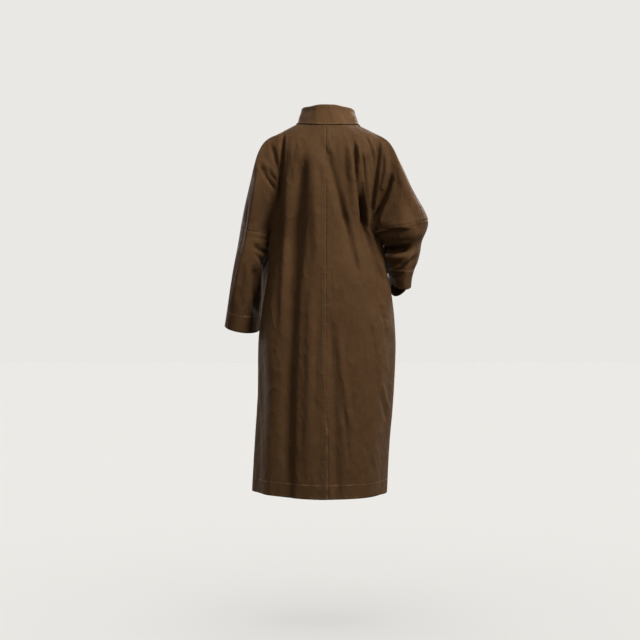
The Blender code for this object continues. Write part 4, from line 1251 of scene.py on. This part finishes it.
def loft_line(region, side, face, column=None, station=None):
    """The finished cloth's points along one column or one station of the loft, in order."""
    whole = cloth()
    chosen = np.array([cell[:3] == (region, side, face) for cell in whole.cells])
    points, places = whole.quads[chosen].ravel(), whole.places[chosen].reshape(-1, 2)
    axis, value = (0, column) if station is None else (1, station)
    on_line = np.abs(places[:, axis] - value) < 1e-3
    order = {p: place for p, place in zip(points[on_line], places[on_line][:, 1 - axis])}
    return np.array(sorted(order, key=order.get))


def beside(region, side, face, column, step, distance):
    """A line at a distance from a column of the loft, towards the column that is a step from it."""
    points = cloth().points
    line = points[loft_line(region, side, face, column=column)]
    near = points[loft_line(region, side, face, column=column + step)]
    count = min(len(line), len(near))
    away = near[:count] - line[:count]
    return line[:count] + units(away) * distance


def above_elbow(side, face, distance):
    """A line at a distance above the seam where the lower sleeve is sewn to the shoulder."""
    points = cloth().points
    stations = (UNDERARM, UNDERARM - UNDERARM / UPPER_ROWS / SPLIT)
    seam, near = (
        loft_line("upper", side, face, station=station)[-SPLIT * SLEEVE_COLUMNS - 1 :]
        for station in stations
    )
    return points[seam] + units(points[near] - points[seam]) * distance


def sewn(line, tree, stitch, gap):
    """Where the stitches of a row lie on the cloth: their middles, directions and normals."""
    along = lengths_to(line)
    places = np.arange(gap, along[-1] - stitch / 2, stitch + gap)
    if len(places) < 2:
        return np.zeros((0, 3, 3))
    row = []
    for place in places:
        start, end = (
            np.array([np.interp(place + d, along, line[:, k]) for k in range(3)]) for d in (0.0, stitch)
        )
        found, normal, _, _ = tree.find_nearest(Vector((start + end) / 2))
        row.append((np.array(found), unit(end - start), np.array(normal)))
    return np.array(row)


def make_stitches(name, rows, settings, material):
    """Rows of stitches as one mesh, each stitch a short thread that dips in at both ends."""
    rows = np.concatenate([row for row in rows if len(row)])
    middle, along, normal = rows[:, 0], rows[:, 1], rows[:, 2]
    across = units(np.cross(normal, along))
    half, thick = settings.stitch_length / 2, settings.thread_thickness / 2
    points = [middle - along * half - normal * thick]
    for share in (-0.6, 0.6):
        centre = middle + along * half * share + normal * thick * 0.6
        points += [centre + across * thick, centre + normal * thick]
        points += [centre - across * thick, centre - normal * thick]
    points.append(middle + along * half - normal * thick)
    faces = []
    for k in range(4):
        n = (k + 1) % 4
        faces += [[0, 1 + n, 1 + k], [1 + k, 1 + n, 5 + n, 5 + k], [5 + k, 5 + n, 9]]
    every = [[corner + len(points) * i for corner in face] for i in range(len(rows)) for face in faces]
    mesh = mesh_of(name, np.stack(points, 1).reshape(-1, 3).tolist(), every)
    mesh.shade_smooth()
    mesh.materials.append(material)
    return placed(name, mesh)


def trees_of(names):
    """Search trees of the outer faces of the panels. The right front's has its lap too."""
    whole = cloth()

    def mine(name, cell):
        past_centre = cell[1:3] == (LEFT, FRONT) and cell[4] == 0
        return panel_of(cell) == name or (name == "front_right" and past_centre)

    found = {}
    for name in names:
        chosen = np.array([mine(name, cell) for cell in whole.cells])
        found[name] = BVHTree.FromPolygons(panel_points(name).tolist(), whole.quads[chosen].tolist())
    return found


def topstitch_rows(settings):
    """Every row of topstitching on the body and the sleeves."""
    points, words = cloth().points, SIDE_NAMES.values()
    lines = []

    def put(panel, line):
        lines.append((panel, line))

    for region in ("upper", "trunk"):
        for distance in (NEAR_ROW, FAR_ROW):
            put("back_left", beside(region, LEFT, BACK, 0, 0.5, distance))
    for side, word in SIDE_NAMES.items():
        for face, panel in ((BACK, f"back_{word}"), (FRONT, f"front_{word}")):
            put(panel, points[loft_line("trunk", side, face, station=hem_start())])
            put(panel, beside("trunk", side, face, TRUNK_COLUMNS, -0.5, NEAR_ROW))
            put(panel, above_elbow(side, face, NEAR_ROW))
            put(panel, above_elbow(side, face, FAR_ROW))
        put(f"back_{word}", beside("upper", side, BACK, OVERARM, -0.5, NEAR_ROW))
        put(f"sleeve_{word}_back", beside("sleeve", side, BACK, OVERARM, -0.5, NEAR_ROW))
        for face, panel in ((BACK, f"sleeve_{word}_back"), (FRONT, f"sleeve_{word}_front")):
            put(panel, points[loft_line("sleeve", side, face, station=cuff_start(side))])
    for distance in EDGE_ROWS:
        inset = settings.stitch_inset + distance
        put("front_right", beside("trunk", LEFT, FRONT, 1, -0.5, inset))
        put("front_right", beside("upper", LEFT, FRONT, 1, -0.5, inset)[2 * SPLIT :])
    put("back_left", np.array(VENT_ROW))

    names = [f"{part}_{word}" for word in words for part in ("back", "front")]
    names += [f"sleeve_{word}_{part}" for word in words for part in ("back", "front")]
    trees = trees_of(names)
    sizes = settings.stitch_length, settings.stitch_gap
    return [sewn(line, trees[panel], *sizes) for panel, line in lines]


def collar_stitch_rows(settings, collar):
    """A row along the lower edge of the collar and one along its top."""
    mesh = collar.data
    faces = [list(p.vertices) for p in mesh.polygons[: len(mesh.polygons) // 2]]
    tree = BVHTree.FromPolygons([v.co for v in mesh.vertices], faces)
    rings = collar_rings()
    rows = []
    for edge, near in ((0, 1), (-1, -2)):
        line = rings[edge] + units(rings[near] - rings[edge]) * settings.stitch_inset
        rows.append(sewn(line[1:-1], tree, settings.stitch_length, settings.stitch_gap))
    return rows


class Level(NamedTuple):
    """A ring of a button, as shares of its radius and of its thickness."""

    radius: float
    height: float


BUTTON_PROFILE = (
    Level(0.0, 0.50),
    Level(0.40, 0.50),
    Level(0.56, 0.56),
    Level(0.68, 0.84),
    Level(0.76, 0.97),
    Level(0.86, 1.0),
    Level(0.94, 0.93),
    Level(0.99, 0.72),
    Level(1.0, 0.45),
    Level(0.97, 0.22),
    Level(0.86, 0.06),
    Level(0.60, 0.0),
    Level(0.0, 0.0),
)


def turned_button(settings):
    """The button's mesh: a turned disc with four drilled holes, its back on the plane Z = 0."""
    points, rings, faces = [], [], []
    for level in BUTTON_PROFILE:
        turns = BUTTON_SEGMENTS if level.radius else 1
        rings.append(range(len(points), len(points) + turns))
        out, height = settings.diameter / 2 * level.radius, settings.thickness * level.height
        for turn in np.linspace(0, 2 * math.pi, turns, endpoint=False):
            points.append((out * math.cos(turn), out * math.sin(turn), height))
    for ring, after in zip(rings, rings[1:]):
        for k in range(BUTTON_SEGMENTS):
            corners = [ring[k % len(ring)], after[k % len(after)]]
            corners += [after[(k + 1) % len(after)], ring[(k + 1) % len(ring)]]
            faces.append(list(dict.fromkeys(corners)))
    disc = placed("turned button", mesh_of("turned button", points, faces))
    drills = []
    off = HOLE_OFF * settings.diameter
    for x, y in ((off, off), (off, -off), (-off, off), (-off, -off)):
        bpy.ops.mesh.primitive_cylinder_add(
            vertices=HOLE_SEGMENTS, radius=HOLE_RADIUS, depth=0.02, location=(x, y, 0)
        )
        drills.append(bpy.context.object)
        disc.modifiers.new("hole", "BOOLEAN").object = drills[-1]
    made = bpy.data.meshes.new_from_object(disc.evaluated_get(bpy.context.evaluated_depsgraph_get()))
    for obj in [*drills, disc]:
        bpy.data.objects.remove(obj)
    made.name = "drilled button"
    made.shade_smooth()
    made.set_sharp_from_angle(angle=math.radians(40))
    return made


class ThreadSize(NamedTuple):
    stitch_length: float
    thread_thickness: float


def buttonhole(tree, seat, right, up):
    """The stitches round a buttonhole: their middles, directions and normals."""
    stitches = []
    for k in range(BUTTONHOLE_STITCHES):
        turn = 2 * math.pi * k / BUTTONHOLE_STITCHES
        across = BUTTONHOLE_MIDDLE + BUTTONHOLE_HALF * math.cos(turn)
        at = seat + right * across + up * BUTTONHOLE_RISE * math.sin(turn)
        found, normal, _, _ = tree.find_nearest(at)
        way = right * (-BUTTONHOLE_HALF * math.sin(turn)) + up * BUTTONHOLE_RISE * math.cos(turn)
        side = np.cross(np.array(normal), np.array(way.normalized()))
        stitches.append((np.array(found), side, np.array(normal)))
    return stitches


def make_buttons(settings, horn, thread):
    """Five buttons at centre front, each sewn on with two bars of thread, and their buttonholes."""
    mesh = turned_button(settings)
    mesh.materials.append(horn)
    tree = trees_of(["front_right"])["front_right"]
    off = HOLE_OFF * settings.diameter
    right = Vector((1, 0, 0))
    bars, loops = [], []
    for number, height in enumerate(BUTTON_HEIGHTS, 1):
        seat, higher, lower = (
            tree.ray_cast(Vector((0, -1, height + step)), Vector((0, 1, 0)))[0]
            for step in (0.0, SLOPE_STEP, -SLOPE_STEP)
        )
        up = (higher - lower).normalized()
        out = right.cross(up).normalized()
        button = placed(f"button_{number}_sewn", mesh)
        button.rotation_euler = Matrix((right, up, out)).transposed().to_euler()
        button.location = seat + out * BUTTON_STAND
        finish_piece(button, f"button_{number}")
        for y in (off, -off):
            middle = button.location + up * y + out * settings.thickness * 0.55
            bars.append((np.array(middle), np.array(right), np.array(out)))
        loops += buttonhole(tree, seat, right, up)
    bar, hole = ThreadSize(2.4 * off, 0.0013), ThreadSize(0.0026, 0.0011)
    for name, stitches, size in (("button_thread", bars, bar), ("buttonhole_thread", loops, hole)):
        finish_piece(make_stitches(name, [np.array(stitches)], size, thread), None)


def linear(hex_colour):
    """An sRGB hex colour as the linear values that a shader takes."""
    values = [int(hex_colour[i : i + 2], 16) / 255 for i in (1, 3, 5)]
    return (*[v / 12.92 if v <= 0.04045 else ((v + 0.055) / 1.055) ** 2.4 for v in values], 1.0)


def fill(tree, node, inputs):
    """Sets a node's inputs, by name or number, to values, or links them to sockets."""
    for name, value in inputs.items():
        if isinstance(value, bpy.types.NodeSocket):
            tree.links.new(value, node.inputs[name])
        else:
            node.inputs[name].default_value = value


def add(tree, kind, inputs, **settings):
    """Adds a node with its settings and inputs."""
    node = tree.nodes.new(kind)
    for name, value in settings.items():
        setattr(node, name, value)
    fill(tree, node, inputs)
    return node


def new_material(name):
    material = bpy.data.materials.new(name)
    material.use_nodes = True
    return material, material.node_tree, material.node_tree.nodes["Principled BSDF"]


def mixed_colour(tree, share, first, second):
    node = add(tree, "ShaderNodeMix", {0: share, 6: first, 7: second}, data_type="RGBA")
    return node.outputs[2]


def scaled(tree, value, low, high, to_low, to_high):
    inputs = {"Value": value, "From Min": low, "From Max": high, "To Min": to_low, "To Max": to_high}
    return add(tree, "ShaderNodeMapRange", inputs).outputs[0]


def clouds(tree, place, scale, detail, **more):
    inputs = {"Vector": place, "Scale": scale, "Detail": detail, **more}
    return add(tree, "ShaderNodeTexNoise", inputs).outputs[0]


def stretched(tree, place, scale, turn=0.0):
    """A place scaled along its three axes, after a turn about Y."""
    inputs = {"Vector": place, "Rotation": (0.0, turn, 0.0), "Scale": scale}
    return add(tree, "ShaderNodeMapping", inputs).outputs[0]


def product(tree, first, second):
    return add(tree, "ShaderNodeMath", {0: first, 1: second}, operation="MULTIPLY").outputs[0]


def kept_mark(tree, name):
    """A value that shell() keeps on the mesh."""
    return add(tree, "ShaderNodeAttribute", {}, attribute_name=name).outputs["Fac"]


def bumped(tree, height, strength, distance, **normal):
    inputs = {"Height": height, "Strength": strength, "Distance": distance, **normal}
    return add(tree, "ShaderNodeBump", inputs).outputs[0]


def cotton(name, base, shade, light, worn, roughness):
    """Garment-washed cotton twill, piece-dyed brown: a dry matt face with a faint bloom of fibre
    ends, dye that took unevenly, and paler thread where seams and edges rub."""
    material, tree, shader = new_material(name)
    place = add(tree, "ShaderNodeTexCoord", {}).outputs["Object"]
    flat = add(tree, "ShaderNodeUVMap", {}, uv_map="weave").outputs[0]
    broad = clouds(tree, place, 8.0, 4.0, Roughness=0.6)
    patchy = clouds(tree, place, 42.0, 5.0, Roughness=0.65)
    slubs = clouds(tree, stretched(tree, flat, (900.0, 140.0, 1.0)), 1.0, 2.0)
    colour = mixed_colour(tree, scaled(tree, broad, 0.35, 0.68, 0.0, 0.55), base, shade)
    colour = mixed_colour(tree, scaled(tree, patchy, 0.45, 0.75, 0.0, 0.40), colour, light)
    colour = mixed_colour(tree, scaled(tree, slubs, 0.40, 0.72, 0.0, 0.25), colour, light)
    wear = product(tree, kept_mark(tree, "wear"), scaled(tree, patchy, 0.38, 0.62, 0.15, 1.0))
    colour = mixed_colour(tree, scaled(tree, wear, 0.05, 0.6, 0.0, 0.8), colour, worn)

    # The twill's lines are 0.7 mm apart on such cloth, and are drawn at twice that so that they show
    lines = {"Vector": flat, "Scale": 320.0, "Distortion": 1.2, "Detail": 1.0}
    twill = add(tree, "ShaderNodeTexWave", lines, bands_direction="DIAGONAL").outputs["Fac"]
    # Crumples run mostly down the coat, and the cloth puckers across its seams
    ridges = {"Vector": stretched(tree, place, (1.0, 1.0, 0.45), 0.35), "Scale": 30.0}
    ridges.update({"Detail": 4.0, "Roughness": 0.66, "Offset": 0.7, "Gain": 2.0})
    crumple = add(tree, "ShaderNodeTexNoise", ridges, noise_type="RIDGED_MULTIFRACTAL").outputs[0]
    pucker = clouds(tree, stretched(tree, flat, (16.0, 78.0, 1.0)), 1.0, 2.0)
    pucker = product(tree, pucker, kept_mark(tree, "pucker"))
    bump = bumped(tree, twill, 0.25, 0.0002)
    bump = bumped(tree, crumple, 0.75, 0.0020, Normal=bump)
    bump = bumped(tree, pucker, 0.7, 0.004, Normal=bump)
    fill(tree, shader, {
        "Base Color": colour,
        "Roughness": scaled(tree, patchy, 0.3, 0.7, roughness + 0.06, roughness - 0.04),
        "IOR": 1.5,
        "Specular IOR Level": 0.14,
        "Specular Tint": worn,
        "Sheen Weight": 0.04,
        "Sheen Roughness": 0.45,
        "Sheen Tint": worn,
        "Normal": bump,
    })
    return material


def horn(name, base, streak):
    """Horn-like resin, cut from rod and tumbled: a low soft shine, with darker streaks through it."""
    material, tree, shader = new_material(name)
    place = add(tree, "ShaderNodeTexCoord", {}).outputs["Object"]
    streaks = clouds(tree, stretched(tree, place, (90.0, 420.0, 160.0)), 1.0, 5.0, Distortion=0.8)
    fill(tree, shader, {
        "Base Color": mixed_colour(tree, scaled(tree, streaks, 0.35, 0.65, 0.0, 1.0), base, streak),
        "Roughness": scaled(tree, streaks, 0.3, 0.7, 0.40, 0.52),
        "IOR": 1.54,
        "Specular IOR Level": 0.3,
        "Normal": bumped(tree, streaks, 0.15, 0.0003),
    })
    return material


def thread_material(name, base, light):
    """Spun polyester thread, twisted from plies: a soft low shine with a fine spiral."""
    material, tree, shader = new_material(name)
    place = add(tree, "ShaderNodeTexCoord", {}).outputs["Object"]
    plies = clouds(tree, place, 1600.0, 1.0)
    fill(tree, shader, {
        "Base Color": mixed_colour(tree, scaled(tree, plies, 0.4, 0.6, 0.0, 1.0), base, light),
        "Roughness": 0.55,
        "Normal": bumped(tree, plies, 0.4, 0.0002),
    })
    return material


def floor_paint(colour):
    """Matt floor paint, put on with a roller: even and almost without shine, so it draws no eye."""
    material, tree, shader = new_material("painted_floor")
    fill(tree, shader, {"Base Color": colour, "Roughness": 0.9, "Specular IOR Level": 0.1})
    return material


def colour_property(name, description, hex_colour):
    return bpy.props.FloatVectorProperty(
        name=name, description=description, subtype="COLOR", size=4, min=0, max=1,
        default=linear(hex_colour),
    )


def length_property(name, description, default, low, high):
    return bpy.props.FloatProperty(
        name=name, description=description, subtype="DISTANCE", unit="LENGTH",
        default=default, min=low, max=high,
    )


class DusterCloth(bpy.types.PropertyGroup):
    """The coat's cloth and thread."""

    thickness: length_property("Thickness", "One layer of the cloth", 0.0014, 0.0008, 0.0025)
    hem_thickness: length_property(
        "Hem thickness", "The cloth where a hem is turned up", 0.0026, 0.0012, 0.0040
    )
    stitch_length: length_property("Stitch length", "How long each stitch shows", 0.0026, 0.0015, 0.0050)
    stitch_gap: length_property("Stitch gap", "The gap between two stitches", 0.0009, 0.0003, 0.0020)
    stitch_inset: length_property("Stitch inset", "How far a row lies from an edge", 0.0050, 0.0015, 0.0100)
    thread_thickness: length_property("Thread thickness", "The thread's diameter", 0.0006, 0.0003, 0.0012)
    base: colour_property("Cloth", "The dyed cloth's main colour", "#382718")
    shade: colour_property("Darker cloth", "Where the dye took more fully", "#302012")
    light: colour_property("Lighter cloth", "The olive cast of the fibre ends", "#42311F")
    worn: colour_property("Worn cloth", "Rubbed seams and edges", "#6C5138")
    thread: colour_property("Thread", "The topstitching", "#453323")


class DusterCollar(bpy.types.PropertyGroup):
    """The stand collar."""

    thickness: length_property("Thickness", "Two layers and an interlining", 0.0028, 0.0015, 0.0040)
    stitch_inset: length_property(
        "Stitch inset", "How far its stitches lie from an edge", 0.0045, 0.0015, 0.0100
    )
    base: colour_property("Cloth", "The collar's main colour", "#402D1C")


class DusterButtons(bpy.types.PropertyGroup):
    """The front buttons."""

    diameter: length_property("Diameter", "A button's diameter", 0.025, 0.012, 0.035)
    thickness: length_property("Thickness", "A button's thickness", 0.0036, 0.002, 0.006)
    base: colour_property("Horn", "The button's main colour", "#4A3323")
    streak: colour_property("Streaks", "Its darker streaks", "#24180F")


class DusterStudio(bpy.types.PropertyGroup):
    """The floor, the lights and the camera."""

    floor: colour_property("Floor", "The studio's floor", "#F7F6F3")
    air: colour_property("Surround", "The pale surround", "#EAE8E5")
    room: colour_property("Room light", "The dim light from all around the coat", "#8C8A88")
    floor_power: bpy.props.FloatProperty(
        name="Floor light", description="The floor's own light", default=1.66, min=0.0
    )
    key_power: bpy.props.FloatProperty(
        name="Key light", description="The main softbox", unit="POWER", default=300.0, min=0.0
    )
    distance: length_property(
        "Camera distance", "From the camera to the coat's middle plane", 5.0, 1.0, 20.0
    )


def material_once(name, make):
    return bpy.data.materials.get(name) or make()


def cloth_finish(context):
    name, of = "brushed_cotton_twill", context.scene.duster_cloth
    return material_once(name, lambda: cotton(name, of.base, of.shade, of.light, of.worn, 0.74))


def thread_finish(context):
    name, of = "spun_thread", context.scene.duster_cloth
    return material_once(name, lambda: thread_material(name, of.thread, of.light))


class SoftLight(NamedTuple):
    """A softbox: where it stands, in metres, how wide it is, and its share of the key light."""

    name: str
    place: tuple
    size: float
    share: float


SOFT_LIGHTS = (
    SoftLight("key", (-1.9, 1.9, 1.9), 1.0, 1.0),
    SoftLight("fill", (1.2, 3.2, 1.4), 2.0, 0.17),
    SoftLight("front_key", (-2.1, -2.1, 1.6), 1.2, 0.68),
    SoftLight("side_fill", (3.0, -1.9, 0.7), 1.6, 0.34),
    SoftLight("front_fill", (1.2, -3.2, 1.2), 2.0, 0.14),
)
LIGHT_TARGET = (0.0, 0.0, -0.35)
FLOOR_HEIGHT = -1.52
FLOOR_SIZE = 60.0
FLOOR_LIGHT_ANGLE = 150  # degrees across, so that it lights the floor from all over the sky
SENSOR = 36.0  # millimetres
FRAME_WIDTH = 1.971  # the width of the picture at the coat's middle plane, in metres
FRAME_MIDDLE = (0.018, -0.5975)  # the picture's middle, x and height


def studio_air(air, room):
    """The pale surround, with a dimmer room round it that lights the coat, brighter overhead."""
    world = bpy.data.worlds.new("studio_air")
    world.use_nodes = True
    tree = world.node_tree
    way = add(tree, "ShaderNodeTexCoord", {}).outputs["Generated"]
    up = add(tree, "ShaderNodeSeparateXYZ", {"Vector": way}).outputs["Z"]
    strength = scaled(tree, up, -1.0, 1.0, 0.3, 1.7)
    lit = add(tree, "ShaderNodeBackground", {"Color": room, "Strength": strength})
    seen = add(tree, "ShaderNodeBackground", {"Color": air}).outputs[0]
    straight = add(tree, "ShaderNodeLightPath", {}).outputs["Is Camera Ray"]
    both = add(tree, "ShaderNodeMixShader", {0: straight, 1: lit.outputs[0], 2: seen}).outputs[0]
    tree.links.new(both, tree.nodes["World Output"].inputs["Surface"])
    return world


def link_floor(light, floor, state):
    """Makes a light light the floor alone, or everything but the floor."""
    linked = bpy.data.collections.new(f"{light.name}_link")
    linked.objects.link(floor)
    light.light_linking.receiver_collection = linked
    linked.collection_objects[0].light_linking.link_state = state


def add_soft_light(softbox, key_power, floor):
    """A softbox turned to the coat. It isn't seen itself, and it leaves the floor out, so the floor
    stays as even as the surround."""
    light = placed(softbox.name, bpy.data.lights.new(softbox.name, "AREA"))
    light.data.size = softbox.size
    light.data.energy = key_power * softbox.share
    light.location = softbox.place
    light.rotation_euler = (Vector(LIGHT_TARGET) - light.location).to_track_quat("-Z", "Y").to_euler()
    light.visible_camera = False
    link_floor(light, floor, "EXCLUDE")


def add_floor_light(power, floor):
    """A wide light from above that lights the floor alone."""
    light = placed("floor_light", bpy.data.lights.new("floor_light", "SUN"))
    light.data.energy = power
    light.data.angle = math.radians(FLOOR_LIGHT_ANGLE)
    link_floor(light, floor, "INCLUDE")


class DUSTER_OT_backs(bpy.types.Operator):
    """Adds the two back panels, sewn at the centre and lapped at the vent"""

    bl_idname = "duster.backs"
    bl_label = "Backs"

    def execute(self, context):
        for name in ("back_left", "back_right"):
            make_panel(name, context.scene.duster_cloth, cloth_finish(context))
        return {"FINISHED"}


class DUSTER_OT_underlap(bpy.types.Operator):
    """Adds the strip behind the back vent"""

    bl_idname = "duster.underlap"
    bl_label = "Vent underlap"

    def execute(self, context):
        make_underlap(context.scene.duster_cloth, cloth_finish(context))
        return {"FINISHED"}


class DUSTER_OT_fronts(bpy.types.Operator):
    """Adds the two front panels, the wearer's right over the left"""

    bl_idname = "duster.fronts"
    bl_label = "Fronts"

    def execute(self, context):
        for name in ("front_left", "front_right"):
            make_panel(name, context.scene.duster_cloth, cloth_finish(context))
        return {"FINISHED"}


class DUSTER_OT_sleeves(bpy.types.Operator):
    """Adds the lower sleeves, each in a back and a front half"""

    bl_idname = "duster.sleeves"
    bl_label = "Sleeves"

    def execute(self, context):
        for side in ("left", "right"):
            for part in ("back", "front"):
                make_panel(f"sleeve_{side}_{part}", context.scene.duster_cloth, cloth_finish(context))
        return {"FINISHED"}


class DUSTER_OT_collar(bpy.types.Operator):
    """Adds the stand collar"""

    bl_idname = "duster.collar"
    bl_label = "Collar"

    def execute(self, context):
        of, settings = context.scene.duster_cloth, context.scene.duster_collar
        finish = cotton("collar_cotton_twill", settings.base, of.base, of.light, of.worn, 0.72)
        make_collar(settings, finish)
        return {"FINISHED"}


class DUSTER_OT_topstitching(bpy.types.Operator):
    """Adds the rows of stitches on the seams, hems and edges"""

    bl_idname = "duster.topstitching"
    bl_label = "Topstitching"

    def execute(self, context):
        settings = context.scene.duster_cloth
        finish = thread_finish(context)
        body = make_stitches("coat_topstitching", topstitch_rows(settings), settings, finish)
        rows = collar_stitch_rows(settings, bpy.data.objects["collar_cloth"])
        collar = make_stitches("collar_topstitching", rows, settings, finish)
        finish_piece(body, None)
        finish_piece(collar, None)
        return {"FINISHED"}


class DUSTER_OT_buttons(bpy.types.Operator):
    """Adds the buttons, their threads and the buttonholes"""

    bl_idname = "duster.buttons"
    bl_label = "Buttons"

    def execute(self, context):
        settings = context.scene.duster_buttons
        finish = horn("horn_resin", settings.base, settings.streak)
        make_buttons(settings, finish, thread_finish(context))
        return {"FINISHED"}


class DUSTER_OT_studio(bpy.types.Operator):
    """Adds the floor, the soft lights and the camera"""

    bl_idname = "duster.studio"
    bl_label = "Studio"

    def execute(self, context):
        scene, settings = context.scene, context.scene.duster_studio
        bpy.ops.mesh.primitive_plane_add(size=FLOOR_SIZE, location=(0, 0, FLOOR_HEIGHT))
        floor = context.object
        floor.name = "studio_floor"
        floor.data.materials.append(floor_paint(settings.floor))
        floor.visible_diffuse = False  # it throws no light back up at the coat
        scene.world = studio_air(settings.air, settings.room)
        scene.view_settings.view_transform = "Standard"
        for light in SOFT_LIGHTS:
            add_soft_light(light, settings.key_power, floor)
        add_floor_light(settings.floor_power, floor)
        camera = placed("camera", bpy.data.cameras.new("camera"))
        camera.data.sensor_width = SENSOR
        camera.data.lens = SENSOR * settings.distance / FRAME_WIDTH
        camera.location = (FRAME_MIDDLE[0], settings.distance, FRAME_MIDDLE[1])
        camera.rotation_euler = (math.radians(90), 0, math.radians(180))
        scene.camera = camera
        return {"FINISHED"}


class DUSTER_PT_panel(bpy.types.Panel):
    """The coat's pieces and sizes"""

    bl_label = "Duster coat"
    bl_space_type = "VIEW_3D"
    bl_region_type = "UI"
    bl_category = "Duster coat"

    def draw(self, context):
        for name in STEPS:
            self.layout.operator(f"duster.{name}")
        for group in GROUPS:
            column = self.layout.column()
            settings = getattr(context.scene, group)
            for name in settings.bl_rna.properties.keys():
                if name not in ("rna_type", "name"):
                    column.prop(settings, name)


GROUPS = {
    "duster_cloth": DusterCloth,
    "duster_collar": DusterCollar,
    "duster_buttons": DusterButtons,
    "duster_studio": DusterStudio,
}
STEPS = ("backs", "underlap", "fronts", "sleeves", "collar", "topstitching", "buttons", "studio")
CLASSES = (
    *GROUPS.values(),
    DUSTER_OT_backs,
    DUSTER_OT_underlap,
    DUSTER_OT_fronts,
    DUSTER_OT_sleeves,
    DUSTER_OT_collar,
    DUSTER_OT_topstitching,
    DUSTER_OT_buttons,
    DUSTER_OT_studio,
    DUSTER_PT_panel,
)


def register():
    for each in CLASSES:
        bpy.utils.register_class(each)
    for name, group in GROUPS.items():
        setattr(bpy.types.Scene, name, bpy.props.PointerProperty(type=group))


def unregister():
    for name in GROUPS:
        delattr(bpy.types.Scene, name)
    for each in reversed(CLASSES):
        bpy.utils.unregister_class(each)


def main():
    register()
    for step in STEPS:
        getattr(bpy.ops.duster, step)()


if __name__ == "__main__":
    main()
